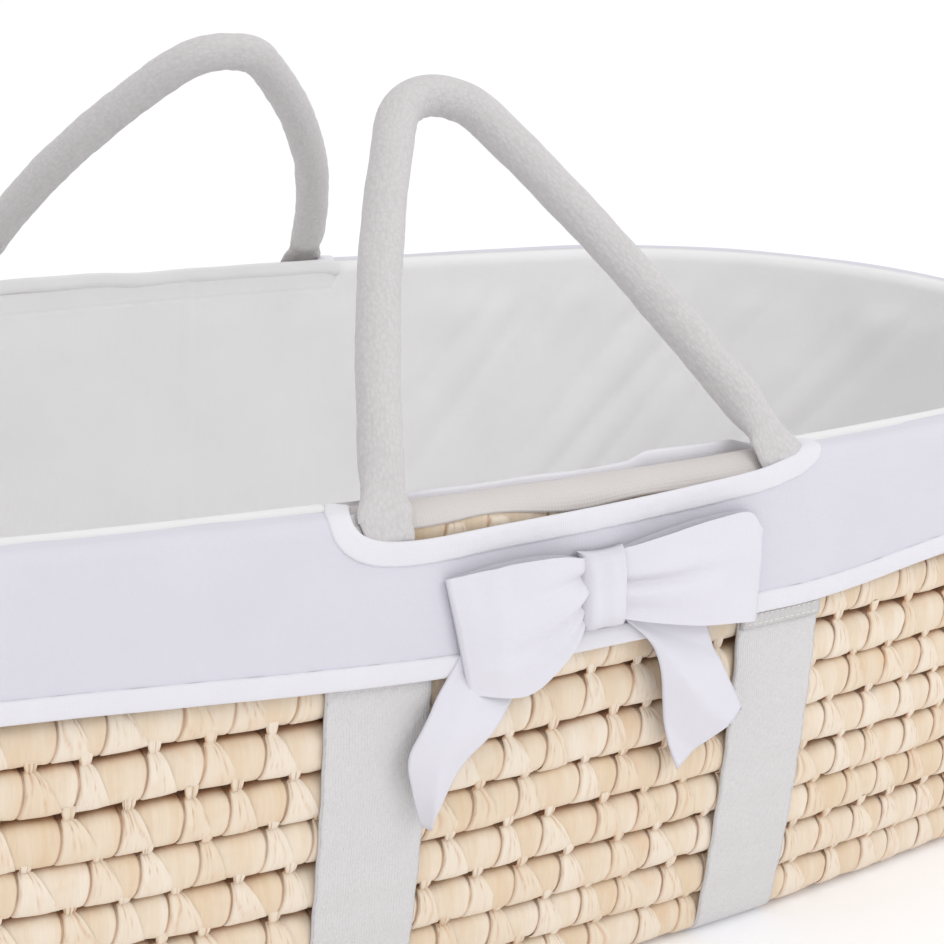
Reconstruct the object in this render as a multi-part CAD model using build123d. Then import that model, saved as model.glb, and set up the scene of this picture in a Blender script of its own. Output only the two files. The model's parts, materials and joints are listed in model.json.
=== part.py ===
from build123d import *
import math
import os

os.makedirs("parts", exist_ok=True)

# Moses basket. X runs along its length, Y across it, Z up, and Z = 0 is the floor under the straps.
# Driving dimensions, in millimetres.
COIL_RADIUS = 9.8  # one husk-wrapped coil
COURSES = 11  # coils in the wall
COURSE_PITCH = 20.0
HALF_LENGTH = 427.0  # centre line of the top coil
HALF_WIDTH = 205.0
SIDE_RADIUS = 1830.0  # the long sides of the oval are this nearly straight
WALL_FLARE = 8.5  # how much further out the top coil lies than the bottom one
WALL_BULGE = 6.0  # how far the middle of the wall swells past a straight line
BASE_RINGS = 8

WEBBING = 1.8  # thickness of the carrying straps
WEBBING_WIDTH = 45.0
STRAP_X = 99.0  # the two straps cross the basket at plus and minus this
FABRIC = 1.0
GAP = 0.3  # room left between layers
CUT = 600.0  # a cutting block this size passes right through the basket

HEM_Z = 158.0  # lower edge of the skirt
HEM_DEPTH = 8.0
FOLD_Z = 224.2  # top of the fabric folded over the rim
SLOT_Z = 212.0  # lower edge of the handle slot in the skirt
SLOT_HALF = 115.0
BINDING_WIDTH = 9.0
LAP_Z = 150.0  # lower end of the handle webbing, lapped on the strap

HANDLE_RADIUS = 9.0
HANDLE_CORE_RADIUS = 7.4
HANDLE_WALL = 1.4
HANDLE_RISE = 187.5  # from the hinge to the centre line of the tube at its apex
HANDLE_LEAN = 44.0  # degrees from upright, inwards, when it lies against the rim
HINGE_RADIUS = 3.0  # flattened end of the tube
HINGE_REACH = 14.5  # hinge line from the centre of the top coil
HINGE_ANGLE = 50.0  # degrees above horizontal, seen from the centre of the top coil
CUFF_WIDTH = 26.0
TAPER = 15.0  # length over which the flattened end becomes a round tube
SEAM_STEP = 0.2  # how far the tube stands over the flattened end at their seam

MATTRESS_Z = 23.4
MATTRESS_THICKNESS = 36.0
MATTRESS_GAP = 3.0
COVER = 1.0

# The wall's profile is one shallow arc, held as (distance outside the top coil, height).
BOTTOM_Z = WEBBING + GAP + COIL_RADIUS
TOP_Z = BOTTOM_Z + COURSE_PITCH * (COURSES - 1)
CHORD = math.hypot(TOP_Z - BOTTOM_Z, WALL_FLARE)
PROFILE_RADIUS = (CHORD**2 / 4 + WALL_BULGE**2) / (2 * WALL_BULGE)
CHORD_SLOPE = math.atan2(WALL_FLARE, TOP_Z - BOTTOM_Z)
PROFILE_OUT = -WALL_FLARE / 2 - (PROFILE_RADIUS - WALL_BULGE) * math.cos(CHORD_SLOPE)
PROFILE_Z = (TOP_Z + BOTTOM_Z) / 2 + (PROFILE_RADIUS - WALL_BULGE) * math.sin(CHORD_SLOPE)

# The oval is four arcs. Ovals parallel to it share its arc centres.
END_RADIUS = (2 * SIDE_RADIUS * HALF_WIDTH - HALF_WIDTH**2 - HALF_LENGTH**2) / (2 * (SIDE_RADIUS - HALF_LENGTH))
END_X = HALF_LENGTH - END_RADIUS
SIDE_Y = SIDE_RADIUS - HALF_WIDTH
END_ANGLE = math.degrees(math.atan2(SIDE_Y, END_X))
OVAL_ARCS = [
    ((END_X, 0), END_RADIUS, -END_ANGLE, 2 * END_ANGLE),
    ((0, -SIDE_Y), SIDE_RADIUS, END_ANGLE, 180 - 2 * END_ANGLE),
    ((-END_X, 0), END_RADIUS, 180 - END_ANGLE, 2 * END_ANGLE),
    ((0, SIDE_Y), SIDE_RADIUS, 180 + END_ANGLE, 180 - 2 * END_ANGLE),
]


def wall_out(z, layer=0.0):
    """Distance outside the top coil's line of a surface that lies `layer` outside the coils' centres."""
    return PROFILE_OUT + math.sqrt((PROFILE_RADIUS + layer) ** 2 - (z - PROFILE_Z) ** 2)


def side_drop(x):
    """How much nearer the middle a long side is at x than at the basket's centre."""
    return SIDE_RADIUS - math.sqrt(SIDE_RADIUS**2 - x**2)


def ring(profile):
    """Sweep a profile, drawn as (distance outside the top coil, height), round the oval."""
    sectors = []
    for (x, y), radius, start, sweep in OVAL_ARCS:
        along = Vector(math.cos(math.radians(start)), math.sin(math.radians(start)), 0)
        plane = Plane(origin=(x, y, 0), x_dir=along, z_dir=along.cross(Vector(0, 0, 1)))
        sectors.append(revolve(plane * Pos(radius, 0) * profile, Axis((x, y, 0), (0, 0, 1)), sweep))
    return sectors[0].fuse(*sectors[1:])


def oval_plate(out, low, high):
    """A flat oval solid whose edge lies `out` outside the top coil's line."""
    arcs = []
    for (x, y), radius, start, sweep in OVAL_ARCS:
        arcs.append(CenterArc((x, y), radius + out, start, sweep))
    return Pos(0, 0, low) * extrude(make_face(Wire(arcs)), high - low)


def wall_line(low, high, layer):
    """The wall's arc between two heights, `layer` outside the coils' centres."""
    middle = (low + high) / 2
    return ThreePointArc(*[(wall_out(z, layer), z) for z in (low, middle, high)])


def wall_strip(low, high, inner, outer):
    """A thin profile that follows the wall between two heights."""
    inside = wall_line(low, high, inner)
    outside = wall_line(low, high, outer)
    foot = Line(inside @ 0, outside @ 0)
    head = Line(inside @ 1, outside @ 1)
    return make_face(Wire([inside, head, outside, foot]))


def band(path, thickness):
    """A profile of even thickness along a path of tangent edges."""
    return trace(path, line_width=thickness)


def to_back(shape):
    return Rot(0, 0, 180) * shape


def write(name, shape):
    if isinstance(shape, (list, tuple, ShapeList)):
        shape = Compound(children=list(shape))
    shape.label = name
    export_step(shape, f"parts/{name}.step")


# Layers outside the coils' centres, from the inside out.
LINER_OUTER = -(COIL_RADIUS + 0.4)
TAPE_INNER = COIL_RADIUS + 0.2
TAPE_OUTER = TAPE_INNER + FABRIC
STRAP_INNER = COIL_RADIUS + GAP
STRAP_OUTER = STRAP_INNER + WEBBING
TAIL_INNER = STRAP_OUTER + 0.1
TAIL_OUTER = TAIL_INNER + WEBBING
SKIRT_INNER = TAIL_OUTER + 0.4
SKIRT_OUTER = SKIRT_INNER + FABRIC
TRIM_INNER = SKIRT_OUTER + 0.1
TRIM_OUTER = TRIM_INNER + 0.8


def coil(out, z):
    return ring(Pos(out, z) * Circle(COIL_RADIUS))


def base_mat():
    """Eight oval coils inside each other and a short straight one in the middle."""
    bottom_out = wall_out(BOTTOM_Z)
    smallest_out = COIL_RADIUS + 0.4 - END_RADIUS
    pitch = (bottom_out - smallest_out) / BASE_RINGS
    rings = [coil(bottom_out - pitch * k, BOTTOM_Z) for k in range(1, BASE_RINGS + 1)]
    spine_half = 145.0
    spine = Cylinder(COIL_RADIUS, 2 * spine_half, rotation=(0, 90, 0))
    spine += Pos(spine_half, 0, 0) * Sphere(COIL_RADIUS)
    spine += Pos(-spine_half, 0, 0) * Sphere(COIL_RADIUS)
    return rings + [Pos(0, 0, BOTTOM_Z) * spine]


def rim_tape():
    """Cotton tape bound over the top of the top coil."""
    start, end = 35, 145
    arc = CenterArc((0, TOP_Z), (TAPE_INNER + TAPE_OUTER) / 2, start, end - start)
    return ring(band(arc, TAPE_OUTER - TAPE_INNER))


def coil_y(x):
    """Distance from the basket's centre plane to the top coil's line, at x."""
    return HALF_WIDTH - side_drop(x)


STRAP_TOP_Z = 196.0


def across(x, width):
    """A tall block that spans a width of the basket at x, over its whole depth."""
    return Pos(x, 0, 0) * Box(width, CUT, CUT)


def webbing_loop():
    """Webbing all round the wall and under the base, from which the straps are cut."""
    layer = (STRAP_INNER + STRAP_OUTER) / 2
    bottom_out = wall_out(BOTTOM_Z)
    corner_angle = math.degrees(math.atan2(BOTTOM_Z - PROFILE_Z, bottom_out - PROFILE_OUT))
    corner = CenterArc((bottom_out, BOTTOM_Z), layer, -90, 90 + corner_angle)
    middle = 110.0
    start = corner @ 1
    wall = ThreePointArc(start, (wall_out(middle, layer), middle), (wall_out(STRAP_TOP_Z, layer), STRAP_TOP_Z))
    return ring(band([corner, wall], WEBBING)) + oval_plate(bottom_out, 0, WEBBING)


def hinge_point():
    """Distance out from the basket's centre plane, and height, of the handles' hinge line."""
    angle = math.radians(HINGE_ANGLE)
    nearest_x = STRAP_X - CUFF_WIDTH / 2 - 2
    return coil_y(nearest_x) + HINGE_REACH * math.cos(angle), TOP_Z + HINGE_REACH * math.sin(angle)


HINGE_Y, HINGE_Z = hinge_point()


def tail_ring():
    """Handle webbing over the straps and the shoulder of the rim, all round the basket."""
    layer = (TAIL_INNER + TAIL_OUTER) / 2
    shoulder_angle = math.degrees(math.atan2(TOP_Z - PROFILE_Z, wall_out(TOP_Z) - PROFILE_OUT))
    wall = wall_line(LAP_Z, TOP_Z + layer * math.sin(math.radians(shoulder_angle)), layer)
    shoulder = CenterArc((wall_out(TOP_Z), TOP_Z), layer, shoulder_angle, HINGE_ANGLE - shoulder_angle)
    return ring(band([wall, shoulder], WEBBING))


def handle_tail(webbing, x):
    """Handle webbing lapped on the strap and narrowed into a cuff that turns over the rim."""
    half, cuff = WEBBING_WIDTH / 2, CUFF_WIDTH / 2
    wide_z, narrow_z, over_z = 176, 204, 240
    outline = Polyline(
        (x - half, LAP_Z - 1),
        (x + half, LAP_Z - 1),
        (x + half, wide_z),
        (x + cuff, narrow_z),
        (x + cuff, over_z),
        (x - cuff, over_z),
        (x - cuff, narrow_z),
        (x - half, wide_z),
        close=True,
    )
    prism = extrude(Plane.XZ * make_face(outline), CUT / 2)
    socket = Pos(x, -HINGE_Y, HINGE_Z) * Cylinder(HINGE_RADIUS + 0.4, 60, rotation=(0, 90, 0))
    return (webbing & prism) - socket


def lap_stitching():
    """Two rows of thread across each lap of tail on strap."""
    thread = 0.6
    inner = TAIL_OUTER + 0.05
    rows = []
    for z in (LAP_Z + 2.0, LAP_Z + 6.0):
        thread_ring = ring(wall_strip(z - thread / 2, z + thread / 2, inner, inner + thread))
        for x in (-STRAP_X, STRAP_X):
            rows += (thread_ring & across(x, WEBBING_WIDTH - 6)).solids()
    return rows


def leg_arc(reach, apex_radius, leg_radius):
    """Centre of the leg's arc that is tangent to the apex arc and ends at the hinge line."""
    apex_z = HANDLE_RISE - apex_radius
    a = (2 * leg_radius * apex_radius - apex_radius**2 - reach**2 + apex_z**2) / (2 * reach)
    b = apex_z / reach
    c = a**2 + apex_z**2 - (leg_radius - apex_radius) ** 2
    half = (a * b + apex_z) / (1 + b**2)
    rise = half - math.sqrt(half**2 - c / (1 + b**2))
    return a - b * rise, rise


def arch(foot_x, apex_x, apex_radius, leg_radius, trim=TAPER):
    """Foot points, and a handle's centre line less `trim` at each foot, in its own XY plane."""
    apex_y = HANDLE_RISE - apex_radius
    feet, necks, joints, legs = [], [], [], []
    for side in (-1, 1):
        reach = foot_x - side * apex_x
        inward, rise = leg_arc(reach, apex_radius, leg_radius)
        centre = Vector(apex_x - side * inward, rise)
        foot_angle = math.atan2(-rise, reach + inward)
        neck_angle = foot_angle + trim / leg_radius
        joint_angle = math.atan2(apex_y - rise, inward)

        def point(angle):
            return centre + Vector(side * math.cos(angle), math.sin(angle)) * leg_radius

        feet.append(point(foot_angle))
        necks.append(point(neck_angle))
        joints.append(point(joint_angle))
        legs.append(ThreePointArc(necks[-1], point((neck_angle + joint_angle) / 2), joints[-1]))
    top = ThreePointArc(joints[0], (apex_x, HANDLE_RISE), joints[1])
    return feet, necks, Wire([legs[0], top, legs[1]])


def tube(wire, radius):
    start = wire @ 0
    plane = Plane(origin=start, z_dir=wire % 0)
    return sweep(plane * Circle(radius), path=wire)


def handle(**shape):
    """The sleeve and core of one handle, in the XY plane with its hinge along X."""
    feet, necks, _ = arch(**shape)
    outside = tube(arch(**shape, trim=TAPER - 0.3)[2], HANDLE_RADIUS)
    for foot, neck in zip(feet, necks):
        outward = neck - foot
        slant = Vector(outward.Y, -outward.X)
        low = Plane(origin=foot, x_dir=(1, 0, 0), z_dir=(0, 1, 0)) * Ellipse(CUFF_WIDTH / 2, HINGE_RADIUS)
        high = Plane(origin=neck, x_dir=slant, z_dir=outward) * Circle(HANDLE_RADIUS - SEAM_STEP)
        outside += loft([low, high], ruled=True)
        outside += Pos(foot.X, foot.Y, 0) * Cylinder(HINGE_RADIUS, CUFF_WIDTH - 4, rotation=(0, 90, 0))
    hollow_wire = arch(**shape, trim=TAPER + 2.0)[2]
    core_wire = arch(**shape, trim=TAPER + 2.2)[2]
    hollow = tube(hollow_wire, HANDLE_RADIUS - HANDLE_WALL)
    return outside - hollow, tube(core_wire, HANDLE_CORE_RADIUS)


def stand(shape, lean):
    """Put a handle drawn flat on the front hinge line, leaning inwards."""
    return Pos(0, -HINGE_Y, HINGE_Z) * Rot(90 - lean, 0, 0) * shape


def slot_outline(grow):
    """Face of the handle slot seen from the front, grown outwards."""
    half = SLOT_HALF + grow
    low = SLOT_Z - grow
    high = 240.0
    corner = 10.0 + grow
    face = Pos(0, (low + high) / 2) * Rectangle(2 * half, high - low)
    return fillet(face.vertices().sort_by(Axis.Y)[:2], corner)


def slot_prism(grow, inner_out):
    """A block through the skirt on the front side, from a distance outside the top coil outwards."""
    block = extrude(Plane.XZ * slot_outline(grow), CUT / 2)
    keep_clear = oval_plate(inner_out, SLOT_Z - COURSE_PITCH, FOLD_Z + COURSE_PITCH)
    return block - keep_clear


LIP_OUT = wall_out(TOP_Z, LINER_OUTER)  # outer face of the liner at the top of the wall
LIP_Z = TOP_Z


def skirt():
    """Cotton folded over the rim and hanging outside it, with a slot for each handle."""
    middle = (SKIRT_INNER + SKIRT_OUTER) / 2
    wall = [(wall_out(z, middle), z) for z in (HEM_Z, (HEM_Z + LIP_Z) / 2, LIP_Z)]
    outer_leg = ThreePointArc(*wall)
    top = FOLD_Z - FABRIC / 2
    inner = LIP_OUT - FABRIC / 2
    turn = Polyline(wall[-1], (wall[-1][0] - 1.0, top), (inner, top), (inner, LIP_Z))
    fold = FilletPolyline(*[turn.vertices()[i] for i in range(4)], radius=6)
    profile = band([outer_leg], FABRIC) + band(fold, FABRIC)
    body = ring(profile)
    slot = slot_prism(0, LIP_OUT + 0.05)
    return body - slot - to_back(slot)


def skirt_hem():
    return ring(wall_strip(HEM_Z, HEM_Z + HEM_DEPTH, TRIM_INNER, TRIM_OUTER))


def slot_binding():
    """Bias binding round the lower edge of the handle slot, on the outside of the skirt."""
    shell = ring(wall_strip(SLOT_Z - BINDING_WIDTH - 3, LIP_Z + 6, TRIM_INNER, TRIM_OUTER))
    frame = extrude(Plane.XZ * (slot_outline(BINDING_WIDTH) - slot_outline(0)), CUT / 2)
    return shell & frame


def slot_hem():
    """Turned edge of the liner along the inner side of the handle slot."""
    thickness = 0.6
    depth = 6.0
    end_gap = 6.0
    strip = Pos(LIP_OUT + 0.1 + thickness / 2, FOLD_Z - FABRIC / 2 - 2.3 - depth / 2) * Rectangle(thickness, depth)
    front_half = Pos(0, -CUT / 2, 0) * Box(2 * (SLOT_HALF - end_gap), CUT, CUT)
    return ring(strip) & front_half


def liner_wall():
    return ring(wall_strip(MATTRESS_Z - 1.6, LIP_Z, LINER_OUTER - FABRIC, LINER_OUTER))


def liner_floor():
    low = MATTRESS_Z - 1.6
    return oval_plate(wall_out(low, LINER_OUTER - FABRIC) - 0.3, low, low + FABRIC)


def pad(out, low, high, edge):
    plate = oval_plate(out, low, high)
    return fillet(plate.edges().filter_by(Plane.XY), edge)


BOW_Y = -(HALF_WIDTH + wall_out(180, TRIM_OUTER) + 0.6)
KNOT_X = -3.0
KNOT_Z = 183.0


def bow_piece(outline, thickness, lift=0.0):
    """A flat piece of the bow, drawn in front view, lying on the skirt."""
    return Pos(0, BOW_Y - lift, 0) * extrude(Plane.XZ * outline, thickness)


def bow():
    """Knot, two loops and two tails of the bow on the front of the skirt."""
    knot = bow_piece(Pos(KNOT_X, KNOT_Z) * RectangleRounded(22, 33, 5), 9.5)
    left = FilletPolyline(
        (-14.5, 170), (-14.5, 197), (-72, 198), (-74, 176), (-66, 147), (-40, 144), radius=5, close=True
    )
    right = FilletPolyline((8.5, 197), (8.5, 168), (77, 155), (80, 196), (66, 203), radius=5, close=True)
    left_tail = Polyline((-62, 143.5), (-88, 122), (-86, 108), (-75, 91), (-68, 110), (-40, 143.5), close=True)
    right_tail = Polyline((18, 163.5), (38, 108), (47, 93), (77, 117), (54, 156.5), close=True)
    return {
        "bow_knot": knot,
        "bow_loop_left": bow_piece(make_face(left), 9),
        "bow_loop_right": bow_piece(make_face(right), 9),
        "bow_tail_left": bow_piece(make_face(left_tail), 2),
        "bow_tail_right": bow_piece(make_face(right_tail), 2),
    }


def build():
    write("base_mat", base_mat())
    for k in range(COURSES):
        z = BOTTOM_Z + COURSE_PITCH * k
        write(f"wall_course_{k + 1:02d}", coil(wall_out(z), z))
    write("rim_tape", rim_tape())

    straps = webbing_loop()
    tails = tail_ring()
    for side, x in (("left", -STRAP_X), ("right", STRAP_X)):
        write(f"strap_{side}", straps & across(x, WEBBING_WIDTH))
        tail = handle_tail(tails, x)
        write(f"handle_tail_front_{side}", tail)
        write(f"handle_tail_back_{side}", mirror(tail, about=Plane.XZ))
    write("lap_stitching", lap_stitching())

    sleeve, core = handle(foot_x=97.0, apex_x=-2.0, apex_radius=26.0, leg_radius=900.0)
    write("handle_front_sleeve", stand(sleeve, HANDLE_LEAN))
    write("handle_front_core", stand(core, HANDLE_LEAN))
    sleeve, core = handle(foot_x=101.0, apex_x=-14.0, apex_radius=32.0, leg_radius=340.0)
    write("handle_back_sleeve", mirror(stand(sleeve, HANDLE_LEAN), about=Plane.XZ))
    write("handle_back_core", mirror(stand(core, HANDLE_LEAN), about=Plane.XZ))

    write("liner_wall", liner_wall())
    write("liner_floor", liner_floor())
    write("liner_skirt", skirt())
    write("skirt_hem", skirt_hem())
    binding = slot_binding()
    write("slot_binding_front", binding)
    write("slot_binding_back", to_back(binding))
    hem = slot_hem()
    write("slot_hem_front", hem)
    write("slot_hem_back", to_back(hem))
    for name, piece in bow().items():
        write(name, piece)

    pad_out = wall_out(MATTRESS_Z, LINER_OUTER - FABRIC) - MATTRESS_GAP
    foam_low = MATTRESS_Z + COVER + 0.1
    foam_high = MATTRESS_Z + MATTRESS_THICKNESS - COVER - 0.1
    foam = pad(pad_out - COVER - 0.1, foam_low, foam_high, 10)
    hollow = pad(pad_out - COVER, foam_low - 0.1, foam_high + 0.1, 10)
    cover = pad(pad_out, MATTRESS_Z, MATTRESS_Z + MATTRESS_THICKNESS, 11) - hollow
    write("mattress_foam", foam)
    write("mattress_cover", cover)


build()
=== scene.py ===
import json
import math

import bpy
import numpy as np
from mathutils import Matrix, Vector


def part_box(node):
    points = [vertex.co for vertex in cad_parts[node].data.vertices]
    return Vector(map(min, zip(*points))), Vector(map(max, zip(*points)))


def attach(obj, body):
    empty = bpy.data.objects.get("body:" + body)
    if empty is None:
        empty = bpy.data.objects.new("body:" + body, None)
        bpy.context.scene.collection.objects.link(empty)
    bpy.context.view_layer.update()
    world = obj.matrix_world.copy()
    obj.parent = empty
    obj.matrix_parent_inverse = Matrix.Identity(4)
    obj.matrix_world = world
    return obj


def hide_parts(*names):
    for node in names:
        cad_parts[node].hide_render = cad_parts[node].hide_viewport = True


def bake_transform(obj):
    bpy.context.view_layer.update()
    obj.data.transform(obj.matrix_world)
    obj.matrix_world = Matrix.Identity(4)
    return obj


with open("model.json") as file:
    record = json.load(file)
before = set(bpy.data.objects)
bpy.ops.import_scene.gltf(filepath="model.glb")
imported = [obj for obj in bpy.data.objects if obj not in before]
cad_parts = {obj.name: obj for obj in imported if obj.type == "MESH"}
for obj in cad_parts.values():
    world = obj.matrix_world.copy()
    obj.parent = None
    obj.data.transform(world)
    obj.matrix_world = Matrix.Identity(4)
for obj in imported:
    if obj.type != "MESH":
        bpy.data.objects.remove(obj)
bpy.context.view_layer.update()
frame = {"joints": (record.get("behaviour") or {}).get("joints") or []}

# Geometry is worked out in millimetres in the CAD frame, and becomes metres when a mesh is made.
METRE = 0.001
RANDOM = np.random.default_rng(21)


# ---------------------------------------------------------------- sizes read from the frame
def cad_box(node):
    """The low and high corners of a node's box."""
    low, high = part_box(node)
    return np.array(low) / METRE, np.array(high) / METRE


COURSES = 11
COURSE_BOXES = [cad_box(f"wall_course_{k:02d}") for k in range(1, COURSES + 1)]
TOP_LOW, TOP_HIGH = COURSE_BOXES[-1]
COIL = (TOP_HIGH[2] - TOP_LOW[2]) / 2
TOP_Z = (TOP_HIGH[2] + TOP_LOW[2]) / 2
BOTTOM_Z = COURSE_BOXES[0][0][2] + COIL
HALF_LENGTH = TOP_HIGH[0] - COIL
HALF_WIDTH = TOP_HIGH[1] - COIL

# The oval of the top coil's centre line is four arcs, and parallel ovals share its arc centres.
SIDE_RADIUS = 1830.0
END_RADIUS = 2 * SIDE_RADIUS * HALF_WIDTH - HALF_WIDTH**2 - HALF_LENGTH**2
END_RADIUS /= 2 * (SIDE_RADIUS - HALF_LENGTH)
END_X = HALF_LENGTH - END_RADIUS
SIDE_Y = SIDE_RADIUS - HALF_WIDTH
END_ANGLE = math.atan2(SIDE_Y, END_X)
ARC_RADII = np.array([SIDE_RADIUS, END_RADIUS, SIDE_RADIUS, END_RADIUS, SIDE_RADIUS])
ARC_CENTRES = np.array([(0, -SIDE_Y), (-END_X, 0), (0, SIDE_Y), (END_X, 0), (0, -SIDE_Y)])
TURNED = np.array([-END_ANGLE, END_ANGLE])
ARC_ANGLES = np.array([math.pi / 2, *(math.pi + TURNED), *(2 * math.pi + TURNED), 2.5 * math.pi])


def arc_ends(out):
    """Lengths along the oval `out` outside the top coil's line at which its arcs start and end."""
    return np.concatenate([[0], np.cumsum((ARC_RADII + out) * np.diff(ARC_ANGLES))])


TOP_ENDS = arc_ends(0)
LENGTH = TOP_ENDS[-1]


def place(s, out, z):
    """Points at length s along the top coil's line, from the middle of the back, anticlockwise."""
    s, out, z = np.broadcast_arrays(np.mod(s, LENGTH), out, z)
    angle = np.interp(s, TOP_ENDS, ARC_ANGLES)
    arc = np.clip(np.searchsorted(TOP_ENDS, s, side="right") - 1, 0, len(ARC_RADII) - 1)
    reach = ARC_RADII[arc] + out
    x = ARC_CENTRES[arc, 0] + reach * np.cos(angle)
    y = ARC_CENTRES[arc, 1] + reach * np.sin(angle)
    return np.stack([x, y, z], -1)


def round_trip(s):
    """A column of lengths along the oval, with its start again at the end of the turn."""
    return np.vstack([s, [[LENGTH]]])


def front_s(x, out=0.0):
    """Length along the top coil's line of the point of the front wall at x."""
    return LENGTH / 2 + SIDE_RADIUS * np.arcsin(x / (SIDE_RADIUS + out))


WALL_CURVE = np.polyfit(
    [(low[2] + high[2]) / 2 for low, high in COURSE_BOXES],
    [high[0] - COIL - HALF_LENGTH for low, high in COURSE_BOXES],
    4,
)


def wall_out(z):
    """How far outside the top coil's line the coils' centres lie at a height."""
    return np.polyval(WALL_CURVE, z)


# ---------------------------------------------------------------- mesh helpers
def smoothstep(low, high, value):
    """0 below low, 1 above high, and a smooth rise between them."""
    t = np.clip((value - low) / (high - low), 0, 1)
    return t * t * (3 - 2 * t)


def walk(line):
    """Length from a line's start to each of its points."""
    return np.concatenate([[0], np.cumsum(np.linalg.norm(np.diff(line, axis=0), axis=1))])


def grid(*values):
    """Values that vary along a net's rows or columns, put together as its coordinates."""
    return np.stack(np.broadcast_arrays(*values), -1)


def direction(angle):
    """Unit vectors at angles."""
    return np.stack([np.cos(angle), np.sin(angle)], -1)


def circle(count):
    """Angles spread over a whole turn."""
    return np.linspace(0, 2 * math.pi, count, endpoint=False)


def wrapped(angles):
    """Angles round a section, with the first again at the end of the turn."""
    return np.append(angles, angles[0] + 2 * math.pi)


def spline(points, count):
    """Points spread evenly along a smooth curve through the given ones."""
    p = np.array(points, float)
    p = np.vstack([2 * p[0] - p[1], p, 2 * p[-1] - p[-2]])
    dense = []
    for a, b, c, d in zip(p[:-3], p[1:-2], p[2:-1], p[3:]):
        t = np.linspace(0, 1, 24, endpoint=False)[:, None]
        curve = 2 * b + (c - a) * t + (2 * a - 5 * b + 4 * c - d) * t**2
        dense.append((curve + (3 * b - a - 3 * c + d) * t**3) / 2)
    dense = np.vstack([*dense, p[-2:-1]])
    walked = walk(dense)
    even = np.linspace(0, walked[-1], count)
    return np.stack([np.interp(even, walked, column) for column in dense.T], -1)


def ripples(size, count=10):
    """A smooth random function of two lengths, about as large as 1, whose bumps are about `size` long.

    Along its first length it repeats every turn of the oval.
    """
    turns = RANDOM.uniform(0, 2 * math.pi, count)
    starts = RANDOM.uniform(0, 2 * math.pi, count)
    pitch = 2 * math.pi / (size * RANDOM.uniform(0.8, 2.2, count))
    whole_turn = 2 * math.pi / LENGTH
    along = np.round(pitch * np.cos(turns) / whole_turn) * whole_turn
    across = pitch * np.sin(turns)

    def value(a, b):
        total = 0
        for start, k_along, k_across in zip(starts, along, across):
            total = total + np.sin(k_along * a + k_across * b + start)
        return total / math.sqrt(count)

    return value


def net(name, points, uv=None, closed=(False, False), **values):
    """A mesh object from nets of points of shape (rows, columns, 3), or several of them stacked.

    Its faces look outwards where the columns turn anticlockwise from the rows. uv is in millimetres.
    """
    points = np.asarray(points, float)
    stack = points if points.ndim == 4 else points[None]
    nets, rows, cols = stack.shape[:3]
    i = np.arange(rows if closed[0] else rows - 1)[:, None]
    j = np.arange(cols if closed[1] else cols - 1)[None, :]
    corners = [(i, j), (i + 1, j), (i + 1, j + 1), (i, j + 1)]
    one = np.stack([(a % rows) * cols + b % cols for a, b in corners], -1).reshape(-1, 4)
    faces = (one[None] + (np.arange(nets) * rows * cols)[:, None, None]).reshape(-1, 4)
    mesh = bpy.data.meshes.new(name)
    mesh.vertices.add(nets * rows * cols)
    mesh.vertices.foreach_set("co", (stack * METRE).astype(np.float32).ravel())
    mesh.loops.add(faces.size)
    mesh.loops.foreach_set("vertex_index", faces.astype(np.int32).ravel())
    mesh.polygons.add(len(faces))
    mesh.polygons.foreach_set("loop_start", np.arange(0, faces.size, 4, dtype=np.int32))
    if uv is not None:
        uv = np.asarray(uv, float)
        uv = uv if uv.ndim == 4 else uv[None]
        ur, uc = uv.shape[1:3]
        picked = []
        for a, b in corners:
            row = a % (ur if ur > rows else rows)
            column = b % (uc if uc > cols else cols)
            picked.append(uv[:, row, column])
        corner_uv = np.stack(picked, 3)
        layer = mesh.uv_layers.new(name="UVMap")
        layer.data.foreach_set("uv", corner_uv.astype(np.float32).ravel())
    mesh.update(calc_edges=True)
    mesh.polygons.foreach_set("use_smooth", np.ones(len(faces), bool))
    for key, value in values.items():
        attribute = mesh.attributes.new(key, "FLOAT", "POINT")
        spread = np.broadcast_to(value, stack.shape[:3]).astype(np.float32)
        attribute.data.foreach_set("value", spread.ravel())
    obj = bpy.data.objects.new(name, mesh)
    bpy.context.scene.collection.objects.link(obj)
    return obj


COTTON = 0.7  # thicknesses of the fabrics
TAPE = 0.8
WEBBING = 1.4
TAIL = 1.5


def finish_piece(obj, slot, body="basket", nodes=(), material=None):
    """Give a piece its material, the record's nodes that it replaces, and the body it moves with."""
    obj.data.materials.append(MATERIALS[material or slot])
    if nodes:
        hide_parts(*nodes)
    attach(obj, body)


def fabric(name, slot, node, thickness, points, uv, closed=(False, False)):
    """A piece of fabric on the basket, with its thickness on the side away from its faces."""
    piece = net(name, points, uv, closed)
    solid = piece.modifiers.new("thickness", "SOLIDIFY")
    solid.thickness = thickness * METRE
    solid.offset = -1
    finish_piece(piece, slot, nodes=[node])
    return piece


# ---------------------------------------------------------------- materials
def srgb(red, green, blue):
    """Linear colour of a screen colour given from 0 to 255."""
    linear = [c / 255 / 12.92 if c <= 10 else ((c / 255 + 0.055) / 1.055) ** 2.4 for c in (red, green, blue)]
    return (*linear, 1.0)


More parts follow.
